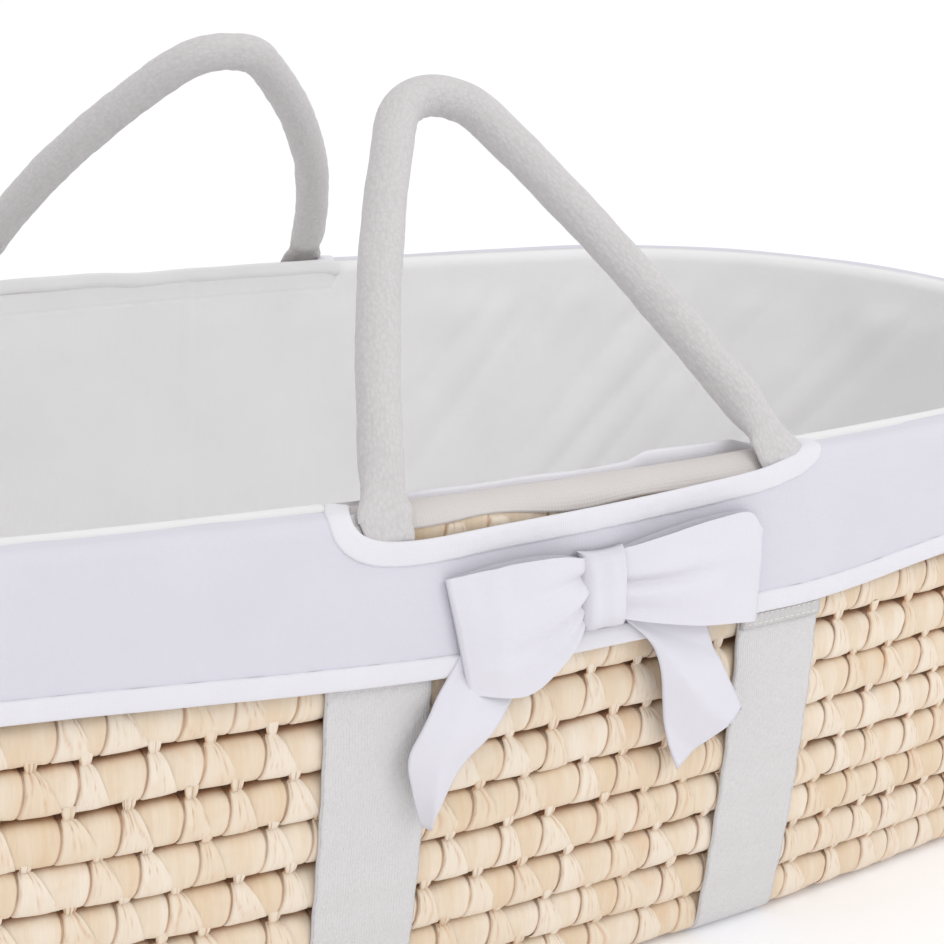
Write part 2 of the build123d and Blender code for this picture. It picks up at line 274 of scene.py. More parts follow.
class Shader:
    """A material's node tree, with short ways to add to it."""

    def __init__(self, name, roughness, sheen=0.0):
        self.material = bpy.data.materials.new(name)
        self.material.use_nodes = True
        self.tree = self.material.node_tree
        self.surface = self.tree.nodes["Principled BSDF"]
        self.surface.inputs["Roughness"].default_value = roughness
        self.surface.inputs["Sheen Weight"].default_value = sheen
        self.surface.inputs["Sheen Roughness"].default_value = 0.6
        self.surface.inputs["Specular IOR Level"].default_value = 0.25
        self.height = None

    def add(self, kind, inputs=None, **settings):
        node = self.tree.nodes.new(kind)
        for key, value in settings.items():
            setattr(node, key, value)
        for key, value in (inputs or {}).items():
            if isinstance(value, bpy.types.NodeSocket):
                self.tree.links.new(value, node.inputs[key])
            else:
                node.inputs[key].default_value = value
        return node

    def uv(self, across=1.0, along=1.0):
        """UV in millimetres, stretched by the two factors."""
        place = self.add("ShaderNodeTexCoord").outputs["UV"]
        return self.add("ShaderNodeMapping", {"Vector": place, "Scale": (across, along, 1)}).outputs["Vector"]

    def noise(self, vector, scale, detail=2.0, roughness=0.5):
        inputs = {"Vector": vector, "Scale": scale, "Detail": detail, "Roughness": roughness}
        return self.add("ShaderNodeTexNoise", inputs).outputs["Fac"]

    def waves(self, vector, spacing, axis="X", distortion=0.0):
        """Bands `spacing` millimetres apart on millimetre coordinates."""
        inputs = {"Vector": vector, "Scale": math.pi / 10 / spacing, "Distortion": distortion, "Detail": 1.0}
        return self.add("ShaderNodeTexWave", inputs, bands_direction=axis).outputs["Fac"]

    def math(self, operation, a, b):
        return self.add("ShaderNodeMath", {0: a, 1: b}, operation=operation).outputs[0]

    def attribute(self, name):
        return self.add("ShaderNodeAttribute", attribute_name=name).outputs["Fac"]

    def mix(self, factor, a, b, blend="MIX"):
        node = self.add("ShaderNodeMix", data_type="RGBA", blend_type=blend)
        for socket, value in ((0, factor), (6, a), (7, b)):
            if isinstance(value, bpy.types.NodeSocket):
                self.tree.links.new(value, node.inputs[socket])
            else:
                node.inputs[socket].default_value = value
        return node.outputs[2]

    def ramp(self, factor, *stops):
        node = self.add("ShaderNodeValToRGB", {"Fac": factor})
        elements = node.color_ramp.elements
        for _ in range(len(stops) - 2):
            elements.new(0.5)
        for element, (place, colour) in zip(elements, stops):
            element.position = place
            element.color = colour
        return node.outputs["Color"]

    def streaks(self, factor, low, high, level):
        """A grey that is black below low and `level`, of 255, above high."""
        return self.ramp(factor, (low, srgb(0, 0, 0)), (high, srgb(level, level, level)))

    def colour(self, value):
        if isinstance(value, bpy.types.NodeSocket):
            self.tree.links.new(value, self.surface.inputs["Base Color"])
        else:
            self.surface.inputs["Base Color"].default_value = value

    def bump(self, height, depth, strength=1.0):
        """Bump of a height of 0 to 1 that stands for `depth` millimetres, over any bump already there."""
        node = self.add("ShaderNodeBump", {"Height": height, "Distance": depth * METRE, "Strength": strength})
        if self.height is not None:
            self.tree.links.new(self.height, node.inputs["Normal"])
        self.height = node.outputs["Normal"]
        self.tree.links.new(self.height, self.surface.inputs["Normal"])


def cotton(name, light, dark, thread=0.7, depth=0.05, sheen=0.1):
    """Plain woven cotton: fine crossed threads, soft unevenness and a faint cloudiness of colour."""
    shader = Shader(name, roughness=0.85, sheen=sheen)
    uv = shader.uv()
    cloud = shader.noise(uv, 0.03, detail=3.0)
    slub = shader.noise(shader.uv(0.25, 1.4), 1.0, detail=2.0)
    base = shader.mix(cloud, dark, light)
    shader.colour(shader.mix(shader.math("MULTIPLY", slub, 0.12), base, dark))
    weave = shader.math("ADD", shader.waves(uv, thread, "X", 0.6), shader.waves(uv, thread, "Y", 0.6))
    shader.bump(weave, depth * 0.5)
    shader.bump(shader.noise(uv, 0.12, detail=3.0), 0.35, 0.6)
    return shader.material


def webbing_material():
    """Ribbed cotton webbing: slanted ribs that change direction, with fuzzy threads."""
    shader = Shader("webbing", roughness=0.9, sheen=0.2)
    uv = shader.uv()
    fuzz = shader.noise(uv, 1.1, detail=4.0, roughness=0.65)
    zigzag = shader.waves(uv, 2.6, "DIAGONAL", 1.6)
    ribs = shader.waves(uv, 1.25, "X", 1.2)
    light, dark = srgb(229, 227, 228), srgb(200, 197, 198)
    base = shader.mix(shader.math("MULTIPLY", fuzz, 0.8), light, dark)
    base = shader.mix(shader.math("MULTIPLY", zigzag, 0.10), base, srgb(206, 202, 201))
    shader.colour(base)
    shader.bump(ribs, 0.12)
    shader.bump(fuzz, 0.5)
    shader.bump(zigzag, 0.12)
    return shader.material


def knit_material():
    """Fine knit drawn over the handles: small loops in rows, a little fuzzy."""
    shader = Shader("handle_knit", roughness=0.92, sheen=0.25)
    uv = shader.uv()
    loops = shader.add(
        "ShaderNodeTexVoronoi", {"Vector": shader.uv(0.62, 0.42), "Scale": 1.0, "Randomness": 0.75}
    ).outputs["Distance"]
    fuzz = shader.noise(uv, 1.4, detail=3.0, roughness=0.6)
    light, dark = srgb(213, 210, 211), srgb(182, 178, 178)
    base = shader.mix(shader.math("MULTIPLY", loops, 0.55), light, dark)
    shader.colour(shader.mix(shader.math("MULTIPLY", fuzz, 0.35), base, dark))
    shader.bump(shader.math("SUBTRACT", 1.0, loops), 0.34)
    shader.bump(fuzz, 0.15)
    return shader.material


def husk_material():
    """Dry husk: pale straw with long fibres, with painted warm shade in the grooves, in the stitches' folds
    and along their edges.
    """
    shader = Shader("husk", roughness=0.62)
    fibre_fine = shader.noise(shader.uv(2.4, 0.10), 1.0, detail=3.0, roughness=0.6)
    fibre_wide = shader.noise(shader.uv(0.42, 0.035), 1.0, detail=2.0)
    blotch = shader.noise(shader.uv(), 0.055, detail=2.0)
    tone = shader.math("ADD", shader.attribute("tone"), shader.math("MULTIPLY", blotch, 0.3))
    base = shader.ramp(
        tone,
        (0.05, srgb(218, 191, 157)),
        (0.38, srgb(224, 202, 174)),
        (0.70, srgb(229, 212, 190)),
        (1.00, srgb(235, 223, 207)),
    )
    base = shader.mix(shader.streaks(fibre_fine, 0.42, 0.75, 140), base, srgb(218, 188, 146))
    base = shader.mix(shader.streaks(fibre_wide, 0.45, 0.80, 120), base, srgb(250, 240, 220))
    stain = shader.noise(shader.uv(0.7, 0.5), 0.12, detail=3.0)
    base = shader.mix(shader.streaks(stain, 0.55, 0.75, 150), base, srgb(222, 180, 146))
    # Painted warm shade: the husk is darkened to amber in the grooves, in the stitches' folds and along the
    # edges of wraps and stitches.
    shader.colour(shader.mix(shader.attribute("crevice"), base, srgb(184, 116, 54)))
    shader.bump(fibre_wide, 0.30)
    shader.bump(fibre_fine, 0.12)
    return shader.material


MATERIALS = {
    "husk": husk_material(),
    "webbing": webbing_material(),
    "handle_knit": knit_material(),
    # The lining and the skirt are the same cotton: the skirt's darker, bluer colour and the lining's lighter
    # one are painted light and shade for the outside and the inside.
    "liner": cotton("liner", srgb(236, 235, 236), srgb(228, 227, 228)),
    "liner_skirt": cotton("liner_skirt", srgb(216, 215, 224), srgb(209, 208, 217)),
    "trim": cotton("trim", srgb(227, 226, 231), srgb(221, 220, 226), thread=0.9),
    "bow": cotton("bow", srgb(225, 223, 230), srgb(217, 215, 223)),
    "tape": cotton("tape", srgb(212, 206, 204), srgb(202, 196, 193), thread=1.4, depth=0.12),
    "thread": cotton("thread", srgb(232, 230, 226), srgb(214, 211, 206), thread=0.5, depth=0.1),
    "mattress_cover": cotton("mattress_cover", srgb(244, 244, 243), srgb(236, 236, 235), thread=1.1),
}


# ---------------------------------------------------------------- husk coils and their fan stitches
HUSK_RADIUS = COIL + 0.05
STITCH_SPACING = 23.2
FACE_LEAN = -90.0  # the base's stitches face down, a quarter turn from the wall's


def husk_section(angle):
    """Radius of a coil's section, a little squarer than a circle because the coils press on each other."""
    power = 2.9
    spread = np.abs(np.cos(angle)) ** power + np.abs(np.sin(angle)) ** power
    return HUSK_RADIUS * spread ** (-1 / power) - 0.35


def edge_line(t):
    """Sideways place of a fan's left edge, from the top of its coil (t = 0) to the bottom (t = 1)."""
    t = np.clip(t, 0, 1)
    return -2.6 - 2.9 * t + 1.3 * np.sin(math.pi * t)


def along_ring(length, out):
    """Length along the top coil's line for a length along the oval `out` outside it."""
    ends = arc_ends(out)
    return np.interp(np.mod(length, ends[-1]), ends, TOP_ENDS)


def stitch_places(out, shift, count=None):
    """Where a coil's stitches lie along it, and how far apart they are."""
    total = arc_ends(out)[-1]
    count = count or round(total / STITCH_SPACING)
    return (np.arange(count) + shift + RANDOM.uniform(-0.15, 0.15, count)) * total / count


def coil_net(out, z, places, below, turn, sway):
    """Points of a husk coil whose wraps end in a rounded edge at each stitch."""
    total = arc_ends(out)[-1]
    widths = np.diff(np.append(places, places[0] + total))
    # a wrap has more columns near its edges, where it is rounded
    near = np.array([0, 0.35, 0.8, 1.5, 2.6, 4.2, 6.2, 8.4])
    far = np.array([-6, -4, -2.4, -1.3, -0.6, -0.2])
    middle = 8.4 + (widths[:, None] - 14.4) * np.array([0.25, 0.5, 0.75])
    offsets = np.hstack([np.tile(near, (len(widths), 1)), middle, widths[:, None] + far])
    columns = offsets.shape[1]
    width = np.repeat(widths, columns)[:, None]
    offset = offsets.reshape(-1, 1)
    wide = np.radians(np.concatenate([np.linspace(-100, 100, 25), np.linspace(120, 240, 6)]))
    around = wide[None, :]
    t = (1 - np.sin(around)) / 2
    length = np.repeat(places, columns)[:, None] + offset + edge_line(t) - 0.4
    rise = np.sin(around)

    radius = husk_section(around) - 0.45 + 0.55 * smoothstep(7, 16, offset)
    radius = radius - 0.5 * np.exp(-(((width - offset) / 0.5) ** 2)) - 0.35 * np.exp(-((offset / 0.5) ** 2))
    radius = radius + 0.22 * ripples(30)(length, 12 * around) + 0.10 * ripples(7)(length, 10 * around)
    gap = np.clip(ripples(60)(length, 0.0) - 0.8, 0, 1)
    radius = radius - 1.8 * gap * smoothstep(0.3, 1, np.abs(rise))
    for spots, side, depth in ((places, 1, 0.8), (below, -1, 0.6)):
        if len(spots):
            nearest = np.abs(length[:, :, None] % total - spots[None, None, :] % total).min(2)
            radius = radius - depth * np.exp(-((nearest / 3.4) ** 2)) * smoothstep(0.35, 1, side * rise)

    angle = around + math.radians(turn)
    height = z + sway(length) + radius * np.sin(angle)
    points = place(along_ring(length, out), out + radius * np.cos(angle), height)
    # Painted shade: dark lines at both ends of each wrap, where the fan stitches' edges shade it, of random
    # strength from wrap to wrap, and shade in the grooves above and below the coil.
    edge_shade = 0.6 * np.exp(-((offset / 0.6) ** 2)) + np.exp(-(((width - offset) / 0.45) ** 2))
    edge_shade_strength = np.repeat(RANDOM.uniform(0.15, 0.75, len(widths)), columns)[:, None]
    groove = smoothstep(0.78, 1.0, np.abs(rise)) * (np.cos(around) > -0.3)
    crevice = np.clip(edge_shade_strength * edge_shade + 0.5 * groove, 0, 0.9)
    layers = 0.12 * np.sin(offset / RANDOM.uniform(1.5, 3.5) + 0.4 * rise)
    layers = layers + 0.05 * np.sin(offset / 0.9 + rise)
    tone = np.repeat(RANDOM.uniform(0.28, 0.80, len(widths)), columns)[:, None] + layers
    length_uv = np.vstack([length, length[:1] + total])
    length_uv = np.hstack([length_uv, length_uv[:, :1]])
    uv = grid(length_uv, wrapped(wide)[None, :] * COIL)
    return points, uv, tone, crevice


def section_line(centre, above):
    """A stitch's path in the wall's section: out of the coil above, over the groove and down its own coil."""
    own = [(58, 0.45), (38, 0.15), (12, 0.0), (-10, 0.0), (-28, 0.0), (-46, 0.0), (-62, -0.3), (-74, -1.5)]
    line = []
    if above is None:
        own = [(30, -2.4), (22, -0.9), *own[2:]]
    else:
        for angle, lift in ((-30, -1.2), (-46, 0.1)):
            angle = np.radians(angle)
            line.append(above + (husk_section(angle) + lift) * direction(angle))
        line.append((above + centre) / 2 + np.array([HUSK_RADIUS * 0.72, 0]))
    for angle, lift in own:
        angle = np.radians(angle)
        line.append(centre + (husk_section(angle) + lift) * direction(angle))
    return spline(line, 20)


def fan_net(out, z, above, places, turn, sway):
    """Nets of all the fan stitches of one coil, pleated at the knot and spreading down the coil."""
    centre = np.array([0.0, 0.0])
    line = section_line(centre, above)
    tangent = np.gradient(line, axis=0)
    tangent /= np.linalg.norm(tangent, axis=1)[:, None]
    outward = np.stack([-tangent[:, 1], tangent[:, 0]], -1)
    t = (1 - line[:, 1] / HUSK_RADIUS) / 2
    down = np.clip(t, 0, 1)
    q = np.linspace(0, 1, 17)

    count = len(places)
    spread = RANDOM.uniform(8.5, 15.0, count)[:, None, None]
    pleats = RANDOM.uniform(2.6, 4.4, count)[:, None, None]
    start = RANDOM.uniform(0, 1, count)[:, None, None]
    thick = RANDOM.uniform(0.85, 1.15, count)[:, None, None]
    left = edge_line(down)[None, :, None]
    right = 2.7 + (spread - 2.7) * (down**0.8)[None, :, None]
    pinch = 1 - 0.22 * np.exp(-(((t[None, :, None] + 0.02) / 0.10) ** 2))
    side = (left + (right - left) * q) * pinch

    edge = smoothstep(0, 0.07, q) * (1 - 0.56 * smoothstep(0.55, 1.0, q))
    knot = np.clip(1 - down, 0, 1)[None, :, None]
    bent = q + 0.10 * np.sin(2 * math.pi * (1.3 * q + 2 * start))
    bent = bent + 0.05 * np.sin(5 * down[None, :, None] + 9 * start)
    fold = 1 - (1 - np.abs(np.sin(math.pi * (pleats * bent + start)))) ** 3
    lift = -0.35 + (0.85 * thick) * edge + (0.50 * knot**2 + 0.04) * (fold - 0.7)
    lift = lift + 0.25 * knot**3

    flat = line[None, :, None, :] + lift[..., None] * outward[None, :, None, :]
    c, s = math.cos(math.radians(turn)), math.sin(math.radians(turn))
    section_out = out + c * flat[..., 0] - s * flat[..., 1]
    section_z = z + s * flat[..., 0] + c * flat[..., 1]
    length = places[:, None, None] + side
    points = place(along_ring(length, out), section_out, section_z + sway(length))
    # Painted shade: darker in the pleats' folds near the knot, along the fan's left edge and in the crease at
    # the top where the stitch leaves the groove.
    crevice = np.clip(0.7 * (1 - fold) ** 2 * knot + 0.35 * (1 - smoothstep(0, 0.05, q)), 0, 0.8)
    crevice = crevice + 0.5 * np.exp(-(((t[None, :, None] + 0.03) / 0.07) ** 2)) * np.abs(2 * q - 1) ** 3
    # The tone is also a little lower in the pleats' troughs: painted shade.
    tone = RANDOM.uniform(0.35, 0.85, count)[:, None, None] + 0.15 * fold
    walked = np.linspace(0, 32, len(line))
    uv = grid(side + 13.7 * np.arange(count)[:, None, None], walked[None, :, None])
    crevice = np.clip(crevice, 0, 0.85)
    # the rows run down the wall, so they become columns for the faces to look outwards
    return [np.flip(values.swapaxes(1, 2), 2) for values in (points, uv, tone, crevice)]


def husk_coil(name, nodes, out, z, above, places, below=(), turn=0.0, loose=0.0):
    """A coil and its stitches.

    `above` is where the next coil lies from this one, `below` holds the stitches that the coil under it
    sews into this one, `turn` leans the stitches' face, and `loose` is how unevenly the coil runs, from 0.
    """
    wave = ripples(110)
    slow = ripples(45)

    def sway(length):
        """How much higher or lower than its row the coil runs."""
        return loose * (0.75 * wave(length, 0.0) + 0.3 * slow(length, 0.0))

    points, uv, tone, crevice = coil_net(out, z, places, below, turn, sway)
    coil = net(name, points, uv, closed=(True, True), tone=tone, crevice=crevice)
    finish_piece(coil, "husk", nodes=nodes)
    points, uv, tone, crevice = fan_net(out, z, above, places, turn, sway)
    fans = net(f"{name}_stitches", points, uv, tone=tone, crevice=crevice)
    finish_piece(fans, "husk")


def wall_coils():
    """The wall's coils, each stitched to the one above, with neighbours' stitches half a space apart."""
    count = round(LENGTH / STITCH_SPACING)
    heights = [(low[2] + high[2]) / 2 for low, high in COURSE_BOXES]
    outs = [high[0] - COIL - HALF_LENGTH for low, high in COURSE_BOXES]
    places = [stitch_places(out, 0.5 * (k % 2), count) for k, out in enumerate(outs)]
    for k in range(COURSES):
        above = None
        if k < COURSES - 1:
            above = np.array([outs[k + 1] - outs[k], heights[k + 1] - heights[k]])
        below = places[k - 1] if k else ()
        number = f"course_{k + 1:02d}"
        loose = 0.0 if k in (0, COURSES - 1) else 1.0
        husk_coil(
            f"husk_{number}", [f"wall_{number}"], outs[k], heights[k], above, places[k], below, loose=loose
        )


def base_coils():
    """The flat oval mat of coils under the mattress, stitched on its underside."""
    rings = 8
    bottom_out = wall_out(BOTTOM_Z)
    smallest = COIL + 0.4 - END_RADIUS
    pitch = (bottom_out - smallest) / rings
    for k in range(1, rings + 1):
        out = bottom_out - pitch * k
        nodes = ["base_mat"] if k == 1 else []
        places = stitch_places(out, 0.5 * (k % 2))
        inner = np.array([0.0, pitch])
        husk_coil(f"husk_base_{k}", nodes, out, BOTTOM_Z, inner, places, turn=FACE_LEAN)


def base_spine():
    """The short straight coil in the middle of the base."""
    half = 145.0
    x = np.linspace(-half - COIL, half + COIL, 220)[:, None]
    around = circle(24)[None, :]
    end = np.clip((half + COIL - np.abs(x)) / COIL, 0, 1)
    pinch = 0.5 * np.abs(np.sin(math.pi * x / STITCH_SPACING)) - 0.5
    radius = (HUSK_RADIUS + pinch) * np.sqrt(1 - (1 - end) ** 2)
    radius = np.maximum(radius + 0.2 * ripples(12)(x, 8 * around) * end, 0.05)
    points = grid(x, radius * np.cos(around), BOTTOM_Z + radius * np.sin(around))
    uv = grid(x, wrapped(around[0])[None, :] * COIL)
    # Painted shade in the pinches between the stitches.
    crevice = 0.5 * np.exp(-((np.sin(math.pi * x / STITCH_SPACING) / 0.12) ** 2))
    spine = net("husk_base_spine", points, uv, closed=(False, True), tone=0.4, crevice=crevice)
    finish_piece(spine, "husk")


# ---------------------------------------------------------------- straps, tails and tape
STRAP_LOW, STRAP_HIGH = cad_box("strap_right")
STRAP_X = (STRAP_LOW[0] + STRAP_HIGH[0]) / 2
STRAP_WIDTH = STRAP_HIGH[0] - STRAP_LOW[0]
STRAP_TOP = STRAP_HIGH[2]
STRAPS = {"left": -STRAP_X, "right": STRAP_X}
FACES = {"front": -1, "back": 1}
STRAP_MIDDLE = 11.85  # how far the strap's middle and the tail's outer face are from the coils' centres
TAIL_OUTER = 13.7
CUFF_WIDTH = 26.0
COURSE_PITCH = 20.0
JOINTS = {joint["name"]: joint for joint in frame["joints"]}
HINGE = np.array(JOINTS["handle_front_fold"]["pos_m"]) / METRE
HINGE_ANGLE = 50.0
HINGE_REACH = 14.5
LAP_Z = cad_box("handle_tail_front_left")[0][2]
LAP_UNDER_HEM = 7.5
LAP_ROWS = (2.0, 6.0)  # heights of the rows of stitches above a tail's lower end
LAP_STITCHES = np.arange(-18.6, 19, 3.1)  # and where a row's stitches are across the strap


def side_y(x, out):
    """Distance from the middle plane to the side wall's surface `out` outside the top coil's line, at x."""
    return np.sqrt((SIDE_RADIUS + out) ** 2 - x**2) - SIDE_Y


def coil_wave(heights):
    """1 at the heights of the coils' middles and -1 between the coils."""
    return np.cos(2 * math.pi * (heights - BOTTOM_Z) / COURSE_PITCH)


def strap_section():
    """Half of a strap's path as (outward distance, height), from its top end to the middle of the base."""
    heights = np.arange(STRAP_TOP, BOTTOM_Z, -1.6)
    bumps = 0.30 * coil_wave(heights) - 0.25
    wall = np.stack([wall_out(heights) + STRAP_MIDDLE + bumps, heights], -1)
    turn = np.radians(np.linspace(0, -90, 12))
    middle = np.array([wall_out(BOTTOM_Z), BOTTOM_Z])
    corner = middle + STRAP_MIDDLE * direction(turn)
    return np.vstack([wall, corner])


def strap(side):
    """Carrying webbing down the front, under the base and up the back."""
    x = STRAPS[side] + np.linspace(-0.5, 0.5, 25) * STRAP_WIDTH
    half = strap_section()
    soft = ripples(70)
    fronts = [[(xi, -side_y(xi, out), z) for xi in x] for out, z in half]
    under = np.linspace(-1, 1, 60)[1:-1, None] * side_y(x, half[-1, 0])[None, :]
    middle = np.stack([np.broadcast_to(x, under.shape), under, np.full_like(under, half[-1, 1])], -1)
    backs = [[(xi, side_y(xi, out), z) for xi in x] for out, z in half[::-1]]
    points = np.concatenate([np.array(fronts), middle, np.array(backs)])
    walked = walk(points[:, 12])
    wave = 0.22 * soft(walked[:, None], x[None, :])
    points[..., 0] += wave + 0.35 * np.sin(walked / 61.0)[:, None]
    uv = grid(x[None, :], walked[:, None])
    piece = fabric(f"webbing_strap_{side}", "webbing", f"strap_{side}", WEBBING, points, uv)


def lap_height(face, side):
    """Height of a tail's lower end, which the hem hides at the front on the left."""
    return LAP_Z + (LAP_UNDER_HEM if (face, side) == ("front", "left") else 0.0)


def tail(face, side):
    """Handle webbing lapped on a strap, narrowed to a cuff that turns over the rim to the hinge."""
    heights = np.linspace(lap_height(face, side), TOP_Z, 40)
    bumps = 0.20 * coil_wave(heights) - 0.2
    wall = np.stack([wall_out(heights) + TAIL_OUTER + bumps, heights], -1)
    turn = np.radians(np.linspace(4, HINGE_ANGLE + 6, 16))
    shoulder = [0, TOP_Z] + TAIL_OUTER * direction(turn)
    line = np.vstack([wall, shoulder])
    narrow = smoothstep(174, 204, line[:, 1])[:, None]
    half = STRAP_WIDTH / 2 * (1 - narrow) + CUFF_WIDTH / 2 * narrow
    across = np.linspace(-1, 1, 17)[None, :]
    x = STRAPS[side] + half * across
    y = side_y(x, line[:, :1])
    y = y + 0.35 * narrow * np.cos(across * 7.0)
    points = grid(x, FACES[face] * y, line[:, 1:])
    walked = walk(line)
    uv = grid(half * across, walked[:, None])
    if face == "front":
        points, uv = points.transpose(1, 0, 2), uv.transpose(1, 0, 2)
    node = f"handle_tail_{face}_{side}"
    piece = fabric(f"handle_cuff_{face}_{side}", "handle_knit", node, TAIL, points, uv)


def rim_tape():
    """Cotton tape over the top of the rim, seen through the handle slots."""
    s = np.linspace(0, LENGTH, 900, endpoint=False)[:, None]
    share = np.linspace(0, 1, 20)[None, :]
    lowest = 17 + 5 * ripples(50)(s, 0.0) + 12 * np.exp(-(((s - front_s(-60.0)) / 28.0) ** 2))
    turn = np.radians(lowest + (145 - lowest) * share)
    radius = 11.1 + 0.25 * ripples(25)(s, 30 * turn)
    points = place(s, radius * np.cos(turn), TOP_Z + radius * np.sin(turn))
    uv = grid(round_trip(s), share * 22)
    tape = fabric("cotton_rim_tape", "tape", "rim_tape", TAPE, points, uv, closed=(True, False))


def lap_stitching():
    """Two rows of thread stitches across each lap of a tail on its strap."""
    steps = np.linspace(-1, 1, 7)
    around = circle(8)
    stitches = []
    for side, x_middle in STRAPS.items():
        for face, sign in FACES.items():
            for row in LAP_ROWS:
                z = lap_height(face, side) + row
                for x_stitch in LAP_STITCHES:
                    x = x_middle + x_stitch + 1.15 * steps
                    radius = 0.38 * np.sqrt(np.clip(1 - steps**8, 0.02, 1))
                    out = wall_out(z) + TAIL_OUTER + 0.1 * (1 - steps**2)
                    y = side_y(x, out)[:, None] + radius[:, None] * np.cos(around)
                    height = z + radius[:, None] * np.sin(around)
                    stitches.append(grid(x[:, None], sign * y, height))
    stitches = np.array(stitches)
    uv = np.zeros((*stitches.shape[:3], 2))
    threads = net("lap_stitches", stitches, uv, closed=(False, True))
    finish_piece(threads, "thread", nodes=["lap_stitching"])


# ---------------------------------------------------------------- handles
HANDLE_RISE = 187.5
HANDLE_LEAN = math.radians(44.0)
HANDLE_RADIUS = 8.9
FOOT_RADIUS = 2.9
FOOT_WIDTH = 23.6
CUFF_REACH = 11.5  # how far up the tube the cuff reaches
CAP_ROWS = 6


def leg_arc(reach, apex_radius, leg_radius):
    """Centre of a leg's arc that is tangent to the apex arc and ends at the hinge line."""
    apex_z = HANDLE_RISE - apex_radius
    a = (2 * leg_radius * apex_radius - apex_radius**2 - reach**2 + apex_z**2) / (2 * reach)
    b = apex_z / reach
    c = a**2 + apex_z**2 - (leg_radius - apex_radius) ** 2
    half = (a * b + apex_z) / (1 + b**2)
    rise = half - math.sqrt(half**2 - c / (1 + b**2))
    return a - b * rise, rise


def arch_line(foot_x, apex_x, apex_radius, leg_radius):
    """A handle's centre line from foot to foot, in its own plane, with points about 1.2 mm apart."""
    apex_y = HANDLE_RISE - apex_radius
    legs = []
    ends = []
    for side in (-1, 1):
        reach = foot_x - side * apex_x
        inward, rise = leg_arc(reach, apex_radius, leg_radius)
        foot = math.atan2(-rise, reach + inward)
        joint = math.atan2(apex_y - rise, inward)
        angle = np.linspace(foot, joint, 150)
        x = apex_x - side * inward + side * leg_radius * np.cos(angle)
        legs.append(np.stack([x, rise + leg_radius * np.sin(angle)], -1))
        ends.append(joint)
    turn = np.linspace(math.pi - ends[0], ends[1], 60)[1:-1]
    top = [apex_x, apex_y] + apex_radius * direction(turn)
    return spline(np.vstack([legs[0][::5], top[::4], legs[1][::-1][::5]]), 380)


# The cuff's middle and outer face round the shoulder of the rim, by the angle up from the horizontal.
CUFF_ANGLES = [0, 25, 35, 42]
CUFF_MIDDLE = [12.9, 13.3, 13.8, 14.2]
CUFF_OUTSIDE = [13.8, 14.5, 15.4, 16.9]


def hinge_cuff(face, end, line, across, wide, deep):
    """A knit cuff that is sewn down on the shoulder of the rim and bends over the hinge on to the tube."""
    hinge = np.array([abs(HINGE[1]), HINGE[2]])
    turn = math.radians(HINGE_ANGLE)
    shoulder = hinge - HINGE_REACH * direction(turn)
    theta = np.radians(np.linspace(0, HINGE_ANGLE - 8, 10))
    lean = np.array([-math.sin(HANDLE_LEAN), math.cos(HANDLE_LEAN)])
    lean_normal = direction(HANDLE_LEAN)

    low_normal = direction(theta)
    low_radius = np.interp(np.degrees(theta), CUFF_ANGLES, CUFF_MIDDLE)
    low_deep = np.interp(np.degrees(theta), CUFF_ANGLES, CUFF_OUTSIDE) - low_radius
    low_line = shoulder + low_radius[:, None] * low_normal
    grip = np.full(len(line), 0.4)
    grip[-1] = -0.4
    normal = np.vstack([low_normal, np.tile(lean_normal, (len(line), 1))])
    centre = np.vstack([low_line, hinge + line[:, 1:] * lean])
    side = np.concatenate([np.full(len(theta), line[0, 0]), line[:, 0]])
    across = np.vstack([np.tile(across[:1], (len(theta), 1)), across])
    wide = np.concatenate([np.linspace(wide[0] - 3.0, wide[0] + 0.1, len(theta)), wide + 0.5 * grip])
    deep = np.concatenate([low_deep, deep + grip])

    around = circle(40)[None, :]
    a, b = wide[:, None] * np.cos(around), deep[:, None] * np.sin(around)
    flat = centre[:, None] + (a * across[:, 1:])[..., None] * lean + b[..., None] * normal[:, None]
    x = side[:, None] + a * across[:, :1]
    sign = FACES[face]
    points = np.stack([x, sign * flat[..., 0], flat[..., 1]], -1)
    walked = walk(centre)
    uv = grid(wrapped(around[0])[None, :] * HANDLE_RADIUS, walked[:, None])
    if (across[0, 0] > 0) == (face == "back"):
        points, uv = points[::-1], uv[::-1]
    cuff = net(f"{face}_handle_cuff_{end}", points, uv, closed=(False, True))
    cuff.data.materials.append(MATERIALS["handle_knit"])
    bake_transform(cuff)


